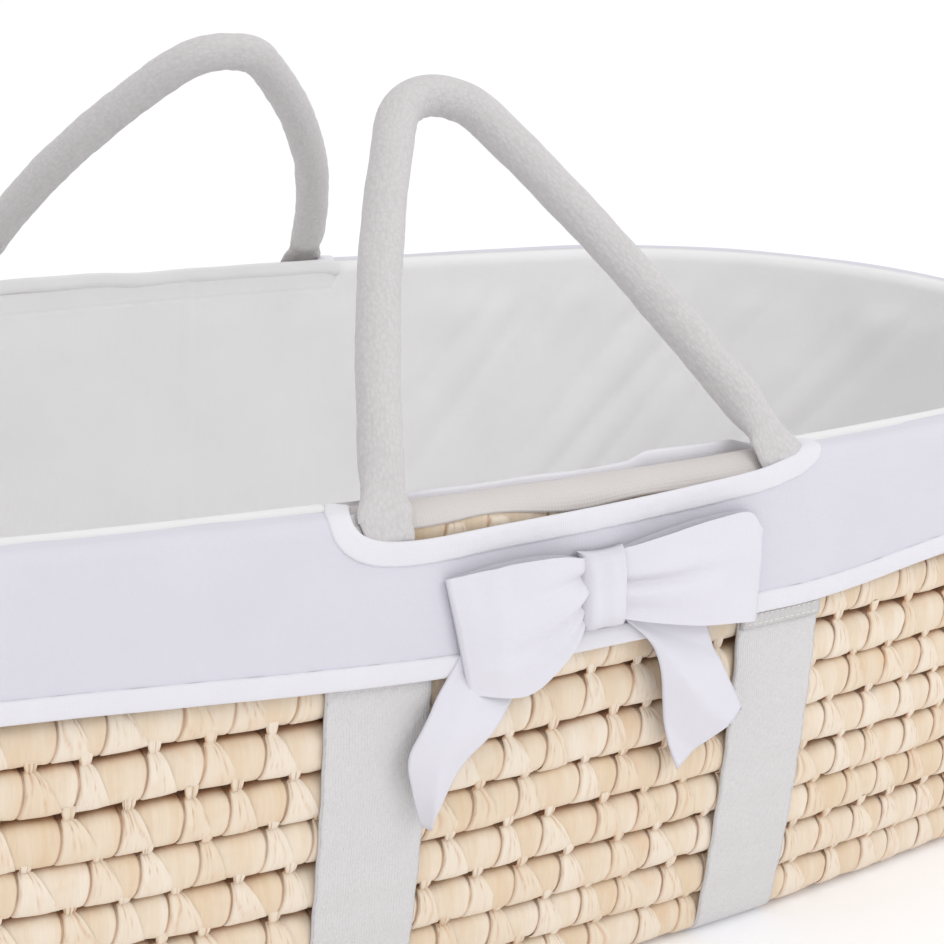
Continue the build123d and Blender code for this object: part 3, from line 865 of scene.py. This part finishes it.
def handle(face, **shape):
    """A knit-covered soft tube, flattened where it is sewn down at each foot."""
    line = arch_line(**shape)
    walked = walk(line)
    total = walked[-1]
    tangent = np.gradient(line, axis=0)
    tangent /= np.linalg.norm(tangent, axis=1)[:, None]
    across = np.stack([tangent[:, 1], -tangent[:, 0]], -1)
    foot = np.minimum(walked, total - walked)
    level = 1 - smoothstep(0, 14, foot)
    across[:, 0] = across[:, 0] * (1 - level) + np.sign(across[:, 0]) * level
    across[:, 1] *= 1 - level
    wide = HANDLE_RADIUS + (FOOT_WIDTH / 2 - HANDLE_RADIUS) * (1 - smoothstep(0.0, 9.0, foot))
    deep = FOOT_RADIUS + (HANDLE_RADIUS - FOOT_RADIUS) * smoothstep(1.0, 24.0, foot)

    for end, index in (("left", walked < CUFF_REACH), ("right", walked > total - CUFF_REACH)):
        order = slice(None, None, 1 if end == "left" else -1)
        leg = [values[index][order] for values in (line, across, wide, deep)]
        hinge_cuff(face, end, *leg)

    roll = np.radians(np.linspace(90, 12, CAP_ROWS))
    caps = []
    for end, outwards in ((0, -1), (-1, 1)):
        inset = outwards * FOOT_RADIUS * np.sin(roll)[:, None] * tangent[end]
        caps.append((line[end] + inset, FOOT_RADIUS * np.cos(roll)))
    (first, first_deep), (last, last_deep) = caps
    line = np.vstack([first, line, last[::-1]])
    across = np.pad(across, ((CAP_ROWS, CAP_ROWS), (0, 0)), "edge")
    wide = np.pad(wide, CAP_ROWS, "edge")
    deep = np.concatenate([first_deep, deep, last_deep[::-1]])
    cap = np.linspace(0.5, 4, CAP_ROWS)
    walked = np.concatenate([-cap[::-1], walked, total + cap])

    around = circle(40)[None, :]
    inside_bend = np.clip(np.cos(around) * np.sign(np.mean(across[:, 0])), 0, 1)
    apex = np.exp(-(((walked - total * 0.5) / 26.0) ** 2))[:, None]
    lumps = 0.22 * ripples(26)(walked[:, None], 9 * around) + 0.10 * ripples(9)(walked[:, None], 9 * around)
    creases = -0.55 * apex * inside_bend**2 * np.abs(np.sin(walked[:, None] / 2.6))
    clear = smoothstep(2, 12, np.minimum(walked, total - walked))[:, None]
    swell = 1 + (lumps + creases) / HANDLE_RADIUS * clear
    a = wide[:, None] * np.cos(around) * swell
    b = deep[:, None] * np.sin(around) * swell
    x = line[:, :1] + a * across[:, :1]
    rise = line[:, 1:] + a * across[:, 1:]
    y = rise * math.sin(HANDLE_LEAN) - b * math.cos(HANDLE_LEAN)
    z = rise * math.cos(HANDLE_LEAN) + b * math.sin(HANDLE_LEAN)
    points = np.stack([x, -FACES[face] * (HINGE[1] + y), HINGE[2] + z], -1)
    uv = grid(wrapped(around[0])[None, :] * HANDLE_RADIUS, walked[:, None])
    if face == "back":
        points, uv = points[::-1], uv[::-1]
    tube = net(f"{face}_handle", points, uv, closed=(False, True))
    nodes = [f"handle_{face}_sleeve", f"handle_{face}_core"]
    finish_piece(tube, "handle_knit", f"handle_{face}", nodes)


# ---------------------------------------------------------------- liner
LIP_OUT = -10.7  # the liner inside the rim
SKIRT_OUT = 15.2
CROWN_OUT = 1.5
FOLD_TOP = cad_box("liner_skirt")[1][2]
FOLD_RADIUS = 6.0

# The front slot's bound edge: x, and the distance down the skirt from the crown of the fold.
SLOT_EDGE = [
    (-107.5, -1.5), (-110.2, 3.5), (-112.4, 9), (-112.2, 14), (-107.5, 18.8), (-98, 21.8), (-81, 22.8),
    (-50, 21.4), (-18, 20.2), (17, 18.8), (47.5, 17.4), (78, 15.6), (93, 13.4), (103, 10.8),
    (109.3, 6.8), (111.6, 2.4), (111.9, -1.2),
]
HEM_LINE = [
    (-330, 163), (-246, 163.6), (-192, 162), (-124, 159), (-72, 156.6), (-19, 156.6), (15, 157), (82, 158),
    (124, 158.6), (198, 165), (300, 166),
]
SLOT_ENDS = (-113.0, 112.0)
SLOT_HEM_ENDS = {"front": (-108, 110), "back": (-114, 114)}
# The cloth is cut a little further out than that edge, under the binding.
SLOT_CUT = [(-113.8, 0), (-113.2, 13), (-108.5, 19), *SLOT_EDGE[5:13], (103.5, 11.4), (111.4, 7), (113.2, 0)]


def outer_section():
    """The skirt's outer face as (outward distance, height), from the crown of the fold down."""
    turn = np.radians(np.linspace(90, 8, 14))
    centre = np.array([SKIRT_OUT - 0.8 - FOLD_RADIUS, FOLD_TOP - FOLD_RADIUS])
    corner = centre + FOLD_RADIUS * direction(turn)
    heights = np.arange(TOP_Z, 140, -2.0)
    wall = np.stack([wall_out(heights) + SKIRT_OUT, heights], -1)
    return np.vstack([[CROWN_OUT, FOLD_TOP - 0.2], corner, wall])


OUTER_LINE = outer_section()
OUTER_WALKED = walk(OUTER_LINE)
SKIRT_WAVES = ripples(150)
SKIRT_FOLDS = ripples(45)
CROWN_WAVES = ripples(90)


def skirt_point(s, v, lift=0.0):
    """A point of the skirt at length s and distance v down from the crown, `lift` outside its face."""
    s, v, lift = np.broadcast_arrays(s, v, lift)
    out = np.interp(v, OUTER_WALKED, OUTER_LINE[:, 0])
    z = np.interp(v, OUTER_WALKED, OUTER_LINE[:, 1])
    before, after = np.clip(v - 1.5, 0, None), v + 1.5
    ends = [[np.interp(at, OUTER_WALKED, line) for line in OUTER_LINE.T] for at in (before, after)]
    run_out, run_z = np.subtract(ends[1], ends[0])
    size = np.maximum(np.hypot(run_out, run_z), 1e-6)
    hang = smoothstep(20, 60, v)
    wave = hang * (0.5 * SKIRT_WAVES(s, v) + 0.25 * SKIRT_FOLDS(s, 0.7 * v)) - 0.4 * hang
    wave = wave + 0.35 * CROWN_WAVES(s, 2 * v) * (1 - hang)
    push = wave + lift
    back = v < 0
    out = np.where(back, CROWN_OUT + v, out) + push * np.where(back, 0, -run_z / size)
    z = z + push * np.where(back, 1, run_out / size)
    return place(s, out, z)


def hem_depth(s):
    """Distance from the crown of the fold to the skirt's lower edge."""
    x = np.mod(s, LENGTH) - LENGTH / 2
    heights = spline(HEM_LINE, 300)
    round_end = 164.5 + 1.5 * np.sin(s / 85.0)
    z = np.interp(x, heights[:, 0], heights[:, 1])
    blend = smoothstep(250, 420, np.abs(x))
    z = z * (1 - blend) + round_end * blend
    return np.interp(-z, -OUTER_LINE[:, 1], OUTER_WALKED)


def slot_depth(s):
    """Distance from the crown down to the skirt's upper edge: 0 outside the slots."""
    cut = np.array(SLOT_CUT, float)
    front = front_s(cut[:, 0], SKIRT_OUT)
    here = [np.mod(s + turn, LENGTH) for turn in (0, LENGTH / 2)]
    return np.maximum(*[np.interp(at, front, cut[:, 1], left=0, right=0) for at in here])


def skirt_columns():
    """Lengths along the rim for the skirt's columns, closer together at the ends of the slots."""
    ends = [front_s(x, SKIRT_OUT) for x in SLOT_ENDS]
    ends += [np.mod(end + LENGTH / 2, LENGTH) for end in ends]
    coarse = np.arange(0, LENGTH, 2.6)
    fine = [end + np.arange(-14, 14, 0.5) for end in ends]
    return np.unique(np.round(np.mod(np.concatenate([coarse, *fine]), LENGTH), 2))


def skirt():
    """Cotton folded over the rim and hanging outside it, cut away at the handle slots."""
    s = skirt_columns()[:, None]
    top = slot_depth(s)
    hem = hem_depth(s)
    share = np.linspace(1, 0, 64)[None, :] ** 1.15
    v = top + (hem - top) * share
    points = skirt_point(s, v)
    uv = grid(round_trip(s), np.vstack([v, v[:1]]))
    # The skirt's cotton is the lining's, with a painted darker, bluer colour for how the outside is lit.
    return fabric("liner_skirt_cloth", "liner_skirt", "liner_skirt", COTTON, points, uv, closed=(True, False))


def band_round_edge(s, v, away_s, away_v, width):
    """A folded band that wraps an edge of the skirt: the edge is (s, v), and away points into the cloth."""
    profile = [(3.0, -1.0), (0.6, -1.1), (-0.5, -0.7), (-0.8, 0.1), (-0.4, 0.8), (0.6, 1.15)]
    profile += [(width * 0.3, 1.25), (width * 0.6, 1.2), (width * 0.9, 1.1)]
    profile += [(width, 0.75), (width + 0.15, 0.05)]
    reach = np.array([w for w, _ in profile])[None, :]
    lift = np.array([h for _, h in profile])[None, :]
    pucker = 0.12 * ripples(9)(s[:, None], 3 * reach) * smoothstep(0.5, 2.0, reach)
    points = skirt_point(
        s[:, None] + away_s[:, None] * reach, v[:, None] + away_v[:, None] * reach, lift + pucker
    )
    uv = grid(s[:, None], reach)
    return points, uv


def skirt_hem():
    """The turned-up hem along the skirt's lower edge."""
    s = np.arange(0, LENGTH, 2.2)
    v = hem_depth(s)
    still = np.zeros_like(s)
    points, uv = band_round_edge(s, v, still, still - 1, 8.2)
    uv = np.concatenate([uv, uv[:1] + [LENGTH, 0]])
    hem = net("skirt_hem_band", points, uv, closed=(True, False))
    finish_piece(hem, "trim", nodes=["skirt_hem"])
    return hem


def slot_binding(face):
    """Bias binding round the lower edge of the front or back handle slot."""
    curve = spline(SLOT_EDGE, 260)
    s = front_s(curve[:, 0], SKIRT_OUT)
    if face == "back":
        s = s + LENGTH / 2
    v = curve[:, 1]
    run_s, run_v = np.gradient(s), np.gradient(v)
    size = np.hypot(run_s, run_v)
    points, uv = band_round_edge(s, v, -run_v / size, run_s / size, 8.6)
    binding = net(f"slot_binding_band_{face}", points[:, ::-1], uv[:, ::-1])
    finish_piece(binding, "trim", nodes=[f"slot_binding_{face}"])
    return binding


LINER_FOOT = cad_box("liner_wall")[0][2]
LINER_WRINKLES = [ripples(190), ripples(75), ripples(32)]
WRINKLED_END = LENGTH / 2 + 640  # length along the rim of the right end, where the lining has slanted folds
LINER_SEAM_X = 21.0  # the lining's panels are joined here on the back wall


def liner_wall():
    """The lining inside the wall, from the base up to the crown of the fold."""
    s = np.arange(0, LENGTH, 3.0)[:, None]
    in_slot = smoothstep(0, 8, slot_depth(s))
    turn = np.radians(np.linspace(180, 90, 9))
    fold = [LIP_OUT + FOLD_RADIUS, FOLD_TOP - FOLD_RADIUS] + FOLD_RADIUS * direction(turn)
    heights = np.linspace(LINER_FOOT, TOP_Z, 60)
    wall = np.stack([wall_out(heights) + LIP_OUT, heights], -1)
    line = np.vstack([wall, fold, [CROWN_OUT + 0.6, FOLD_TOP - 0.2]])
    edge = np.vstack([wall, np.linspace((LIP_OUT, TOP_Z), (LIP_OUT - 0.5, FOLD_TOP - 2.4), len(fold) + 1)])
    out = line[None, :, 0] * (1 - in_slot) + edge[None, :, 0] * in_slot
    z = line[None, :, 1] * (1 - in_slot) + edge[None, :, 1] * in_slot
    free = smoothstep(LINER_FOOT, 60, z) * (1 - smoothstep(190, 214, z))
    large, middle, small = LINER_WRINKLES
    right_end = smoothstep(120, 380, 500 - np.abs(s - WRINKLED_END))
    drape = -1.6 + 1.6 * large(s, 1.4 * z) + 1.1 * middle(s, 0.8 * z)
    drape = drape - 2.2 * right_end * np.abs(small(s + 0.8 * z, 0.15 * z))
    drape = -np.logaddexp(0, -drape)
    seam = -0.6 * np.exp(-(((s - LENGTH + LINER_SEAM_X) / 1.8) ** 2))
    out = out + free * drape + seam * smoothstep(LINER_FOOT, 30, z)
    points = place(s, out, z)
    walked = walk(line)
    uv = grid(round_trip(s), walked[None, :])
    points, uv = points[:, ::-1], uv[:, ::-1]
    cloth = fabric("liner_wall_cloth", "liner", "liner_wall", COTTON, points, uv, closed=(True, False))
    hems = [slot_hem(face) for face in FACES]


def slot_hem(face):
    """Turned edge of the lining along the inner side of the front or back handle slot."""
    back = face == "back"
    x = np.linspace(*SLOT_HEM_ENDS[face], 160)
    s = front_s(x) + (LENGTH / 2 if back else 0)
    profile = [(0.9, -7.0), (1.2, -3.5), (1.1, -0.5), (0.3, 0.5), (-0.9, 0.4), (-1.4, -0.6)]
    profile = np.array(profile + [(-1.5, -4.0), (-1.2, -6.6), (0.2, -7.6)])
    turned_up = 3.0 * smoothstep(28, 40, x) * (1 - smoothstep(84, 98, x))
    rise = 2.6 + 2.6 * smoothstep(-60, 110, x) if back else turned_up - 1.8 - 2.0 * smoothstep(60, 109, -x)
    ends = smoothstep(104, 113, np.abs(x)) if back else 0
    top = FOLD_TOP + rise + 0.7 * ripples(60)(s, s) - 1.6 * ends
    out = LIP_OUT + profile[None, :, 0] + 0.5 * ripples(40)(s, s)[:, None]
    points = place(s[:, None], out, top[:, None] + profile[None, :, 1])
    walked = np.linspace(0, 16, len(profile))
    uv = grid(s[:, None], walked[None, :])
    piece = net(f"slot_lining_hem_{face}", points, uv)
    finish_piece(piece, "trim", nodes=[f"slot_hem_{face}"], material="liner" if back else "trim")
    return piece


def oval_rows(out_edge, count):
    """Offsets that shrink an oval from its edge to the centre plane."""
    return out_edge + (1 - END_RADIUS - out_edge) * np.linspace(0, 1, count)


def liner_floor():
    """The lining's floor, laid on the base."""
    low, high = cad_box("liner_floor")
    s = np.arange(0, LENGTH, 8.0)[:, None]
    rows = oval_rows(high[0] - HALF_LENGTH, 26)
    wrinkle = 0.25 * ripples(60)(s, 3 * rows[None, :])
    points = place(s, rows[None, :], high[2] - 0.3 + wrinkle)
    points[:, -1, 1] = 0
    uv = points[..., :2].copy()
    uv = np.concatenate([uv, uv[:1]])
    cloth = fabric("liner_floor_cloth", "liner", "liner_floor", COTTON, points, uv, closed=(True, False))


def mattress():
    """A loose foam mattress in a white cotton cover, crowned, with a piped seam round its middle."""
    low, high = cad_box("mattress_cover")
    edge = high[0] - HALF_LENGTH
    thick = high[2] - low[2]
    middle = (high[2] + low[2]) / 2
    s = np.arange(0, LENGTH, 5.0)[:, None]
    inner = oval_rows(edge - 14, 24)
    turn = np.radians(np.linspace(90, -90, 25))
    seam = np.exp(-((np.degrees(turn) / 5.0) ** 2)) * 1.1
    side_out = edge - 12.0 + (11.0 + seam) * np.abs(np.cos(turn)) ** 0.6
    side_z = middle + (thick / 2 - 0.8) * np.sign(np.sin(turn)) * np.abs(np.sin(turn)) ** 0.55
    crown = 1.6 * smoothstep(0, 60, edge - inner)
    top = np.stack([inner[::-1], middle + thick / 2 - 1.8 + crown[::-1]], -1)
    bottom = np.stack([inner, np.full(len(inner), low[2] + 0.6)], -1)
    line = np.vstack([top, np.stack([side_out, side_z], -1), bottom])
    points = place(s, line[None, :, 0], line[None, :, 1])
    points[..., 2] += 0.45 * ripples(55)(points[..., 0], points[..., 1]) * (line[None, :, 1] > middle)
    points[:, 0, 1] = 0
    points[:, -1, 1] = 0
    walked = walk(line)
    uv = grid(round_trip(s), walked[None, :])
    pad = net("mattress_pad", points[:, ::-1], uv[:, ::-1], closed=(True, False))
    finish_piece(pad, "mattress_cover", "mattress", nodes=["mattress_cover", "mattress_foam"])


# ---------------------------------------------------------------- bow
def on_skirt(x, z, proud):
    """A point in front of the skirt, given in front view, `proud` millimetres off its face."""
    x, z, proud = np.broadcast_arrays(x, z, proud)
    y = -side_y(x, wall_out(z) + SKIRT_OUT + 1.4 + proud)
    return np.stack([x, y, z], -1)


def between(first, last, count_along, count_across):
    """A net between two rails drawn in front view, each given by a few points."""
    a, b = spline(first, count_along), spline(last, count_along)
    share = np.linspace(0, 1, count_across)[None, :, None]
    return a[:, None] * (1 - share) + b[:, None] * share


LOOP_DEPTH = 9.0


def bow_knot():
    """The band gathered round the middle of the bow."""
    low, high = cad_box("bow_knot")
    across = np.linspace(0, 1, 22)[:, None]
    turn = np.radians(np.linspace(-100, 100, 30))[None, :]
    x = low[0] + (high[0] - low[0]) * across - 0.8 * np.sin(turn)
    middle, half = (low[2] + high[2]) / 2, (high[2] - low[2]) / 2
    squeeze = 1 - 0.06 * np.sin(math.pi * across)
    z = middle + half * squeeze * np.sign(np.sin(turn)) * np.abs(np.sin(turn)) ** 0.7
    ends = 1 - 0.75 * np.abs(2 * across - 1) ** 6
    pleat = 0.45 * np.sin(across * 2 * math.pi * 2.2 + 0.8 * np.sin(turn))
    proud = (8.2 + pleat) * ends * np.clip(np.cos(turn), 0, 1) ** 0.35
    points = on_skirt(x, z, proud)
    uv = grid(22 * across, 40 * turn)
    piece = fabric("bow_knot_band", "bow", "bow_knot", COTTON, points, uv)


def bow_loop(side, top, bottom, creases, wrinkle, bent):
    """One loop: its front leaf runs from the knot to the fold and its back leaf returns behind.

    A crease is its place from the bottom of the loop (0) to the top (1), its height, its width, and how far
    from the knot it reaches.
    """
    front = between(bottom, top, 40, 30)
    back = front[::-1] + np.array([0.0, -0.6])
    x, z = np.concatenate([front[..., 0], back[..., 0]]), np.concatenate([front[..., 1], back[..., 1]])
    away = np.linspace(0, 1, 40)[:, None]
    share = np.linspace(0, 1, 30)[None, :]
    swell = np.sin(math.pi * np.clip(away, 0, 1) ** 0.7) ** 0.8
    ridge = 0
    for place_at, depth, width, reach in creases:
        fade = 1 - smoothstep(0.15, reach, away)
        ridge = ridge + depth * np.exp(-(((share - place_at) / width) ** 2)) * fade
    edge = 1 - smoothstep(0.90, 1.0, away)
    leaf = 2.6 + (LOOP_DEPTH - 2.6) * swell * (0.75 + 0.25 * np.sin(math.pi * share)) * (0.45 + 0.55 * edge)
    bend = np.exp(-(((away - 0.80 + 0.10 * share) / 0.07) ** 2)) * smoothstep(0, 0.3, share)
    leaf = leaf + ridge + bent * bend
    leaf = leaf + 0.6 * ripples(wrinkle)(60 * away, 50 * share)
    rear = 0.6 + 0.5 * swell
    proud = np.concatenate([leaf, np.broadcast_to(rear, leaf.shape)[::-1]])
    points = on_skirt(x, z, np.maximum(proud, 0.1))
    walked = np.linspace(0, 130, 80)[:, None]
    uv = grid(walked, 50 * share)
    if x[0, 0] > x[39, 0]:
        points, uv = points[::-1], uv[::-1]
    piece = net(f"bow_loop_{side}_cloth", points, uv)
    finish_piece(piece, "bow", nodes=[f"bow_loop_{side}"])


def bow_tail(side, left, right, shape):
    """One tail, hanging from under its loop."""
    face = between(left, right, 44, 26)
    down = np.linspace(0, 1, 44)[:, None]
    share = np.linspace(0, 1, 26)[None, :]
    proud = shape(down, share) + 0.25 * ripples(30)(70 * down, 40 * share)
    points = on_skirt(face[..., 0], face[..., 1], np.maximum(proud, 0.2))
    uv = grid(40 * share, 70 * down)
    points, uv = points.transpose(1, 0, 2)[:, ::-1], uv.transpose(1, 0, 2)[:, ::-1]
    piece = fabric(f"bow_tail_{side}_cloth", "bow", f"bow_tail_{side}", COTTON, points, uv)


def folded_tail(across, down, first, second):
    """Height of a tail creased where `across` is 0, which slopes away on both sides."""
    ridge = 2.0 + 6.0 * smoothstep(0.1, 0.5, down)
    slope = np.where(across < 0, -first * across, second * across)
    return np.maximum(ridge - np.hypot(slope, 0.5), 0.6)


def bow():
    """The knot, the loops and the tails, with outlines in millimetres in front view."""
    bow_knot()
    bow_loop(
        "left",
        top=[(-11, 197), (-28, 200.5), (-50, 200.5), (-75, 197)],
        bottom=[(-11, 171), (-24, 156), (-39, 145.5), (-63, 148.5)],
        creases=[
            (0.34, -2.8, 0.07, 1.1), (0.72, -2.2, 0.06, 0.7), (0.52, 1.8, 0.09, 1.0), (0.12, -1.6, 0.06, 0.6),
        ],
        wrinkle=24,
        bent=0.9,
    )
    bow_loop(
        "right",
        top=[(4, 198.5), (24, 202.5), (50, 205.5), (71, 204.5), (80, 196)],
        bottom=[(4, 170), (20, 166.5), (42, 161.5), (64, 158.5), (78.5, 156)],
        creases=[
            (0.52, -3.2, 0.06, 0.85), (0.66, 1.6, 0.09, 0.9), (0.36, 1.2, 0.10, 0.8), (0.15, -1.4, 0.07, 0.5),
        ],
        wrinkle=26,
        bent=0.2,
    )
    bow_tail(
        "left",
        left=[(-66, 166), (-77.5, 148), (-89, 128.5), (-86.5, 112), (-81, 96)],
        right=[(-24, 160), (-37.5, 149), (-54, 131), (-68, 118.5), (-79, 96.5)],
        shape=lambda down, share: folded_tail(share - 0.26 - 0.3 * down, down, 12.0, 6.0),
    )
    bow_tail(
        "right",
        left=[(10, 168), (25, 153), (31.5, 130), (38.5, 108), (45, 94.5)],
        right=[(52, 163), (57, 150), (62.5, 138.5), (71.5, 121), (71, 119)],
        shape=lambda down, share: folded_tail(1.15 * share - down + 0.10, down, 13.0, 6.0),
    )


# ---------------------------------------------------------------- camera and light
CAMERA_PLACE = Vector((-0.5162, -0.8956, 0.4788))
CAMERA_AZIMUTH = math.radians(-33.8)
CAMERA_ELEVATION = math.radians(16.56)
CAMERA_ROLL = math.radians(2.82)
CAMERA_LENS = 86.16
SOFT_LIGHT = (0.1, -0.3, 0.85)  # the studio is brightest in this direction
LIGHT_LEVEL = 0.75
LIGHT_SLOPE = 0.38  # how much brighter it is there, and darker on the opposite side
KEY_PLACE = (0.7, -1.9, 1.8)
KEY_TARGET = (0, 0, 0.15)
KEY_SIZE = 1.0
KEY_POWER = 7.5
WHITE = (1.0, 1.0, 1.0, 1.0)
FLOOR_HALF = 30.0
FLOOR_GLOW = 0.08


def camera():
    """The camera, whose azimuth is 0 straight in front of the basket and grows anticlockwise from above."""
    a, e, r = CAMERA_AZIMUTH, CAMERA_ELEVATION, CAMERA_ROLL
    forward = Vector((-math.sin(a) * math.cos(e), math.cos(a) * math.cos(e), -math.sin(e)))
    level_right = Vector((math.cos(a), math.sin(a), 0))
    level_up = level_right.cross(forward)
    right = level_right * math.cos(r) + level_up * math.sin(r)
    up = level_up * math.cos(r) - level_right * math.sin(r)
    data = bpy.data.cameras.new("camera")
    data.lens = CAMERA_LENS
    data.sensor_width = 36.0
    data.clip_start = 0.05
    obj = bpy.data.objects.new("camera", data)
    turned = Matrix((right, up, -forward)).transposed().to_4x4()
    obj.matrix_world = Matrix.Translation(CAMERA_PLACE) @ turned
    bpy.context.scene.collection.objects.link(obj)
    bpy.context.scene.camera = obj


def key_light():
    """A large soft lamp in front of the basket on the right."""
    data = bpy.data.lights.new("key", "AREA")
    data.shape = "DISK"
    data.size = KEY_SIZE
    data.energy = KEY_POWER
    obj = bpy.data.objects.new("key", data)
    obj.location = KEY_PLACE
    obj.rotation_mode = "QUATERNION"
    obj.rotation_quaternion = (Vector(KEY_TARGET) - Vector(KEY_PLACE)).to_track_quat("-Z", "Y")
    bpy.context.scene.collection.objects.link(obj)


def studio():
    """A white floor and white surroundings that are brightest above."""
    corners = [[(x, y, 0) for y in (-FLOOR_HALF, FLOOR_HALF)] for x in (-FLOOR_HALF, FLOOR_HALF)]
    floor = net("floor", np.array(corners) / METRE)
    shader = Shader("floor", roughness=0.9)
    shader.colour(srgb(249, 249, 251))
    shader.surface.inputs["Emission Color"].default_value = WHITE
    shader.surface.inputs["Emission Strength"].default_value = FLOOR_GLOW
    floor.data.materials.append(shader.material)
    world = bpy.data.worlds.new("studio")
    world.use_nodes = True
    background = world.node_tree.nodes["Background"]
    background.inputs["Color"].default_value = WHITE
    nodes, links = world.node_tree.nodes, world.node_tree.links
    outlook = nodes.new("ShaderNodeTexCoord").outputs["Generated"]
    facing = nodes.new("ShaderNodeVectorMath")
    facing.operation = "DOT_PRODUCT"
    facing.inputs[1].default_value = Vector(SOFT_LIGHT).normalized()
    links.new(outlook, facing.inputs[0])
    strength = nodes.new("ShaderNodeMath")
    strength.operation = "MULTIPLY_ADD"
    strength.inputs[1].default_value = LIGHT_SLOPE
    strength.inputs[2].default_value = LIGHT_LEVEL
    links.new(facing.outputs["Value"], strength.inputs[0])
    links.new(strength.outputs[0], background.inputs["Strength"])
    bpy.context.scene.world = world
    bpy.context.scene.view_settings.view_transform = "Standard"


# ---------------------------------------------------------------- assembly
wall_coils()
base_coils()
base_spine()
rim_tape()
for side in STRAPS:
    strap(side)
for side in STRAPS:
    for face in FACES:
        tail(face, side)
lap_stitching()
handle("front", foot_x=97.0, apex_x=-2.0, apex_radius=26.0, leg_radius=900.0)
handle("back", foot_x=101.0, apex_x=-14.0, apex_radius=32.0, leg_radius=340.0)
skirt_cloth = skirt()
trims = [skirt_hem(), *[slot_binding(face) for face in FACES]]
liner_wall()
liner_floor()
mattress()
bow()
camera()
studio()
key_light()
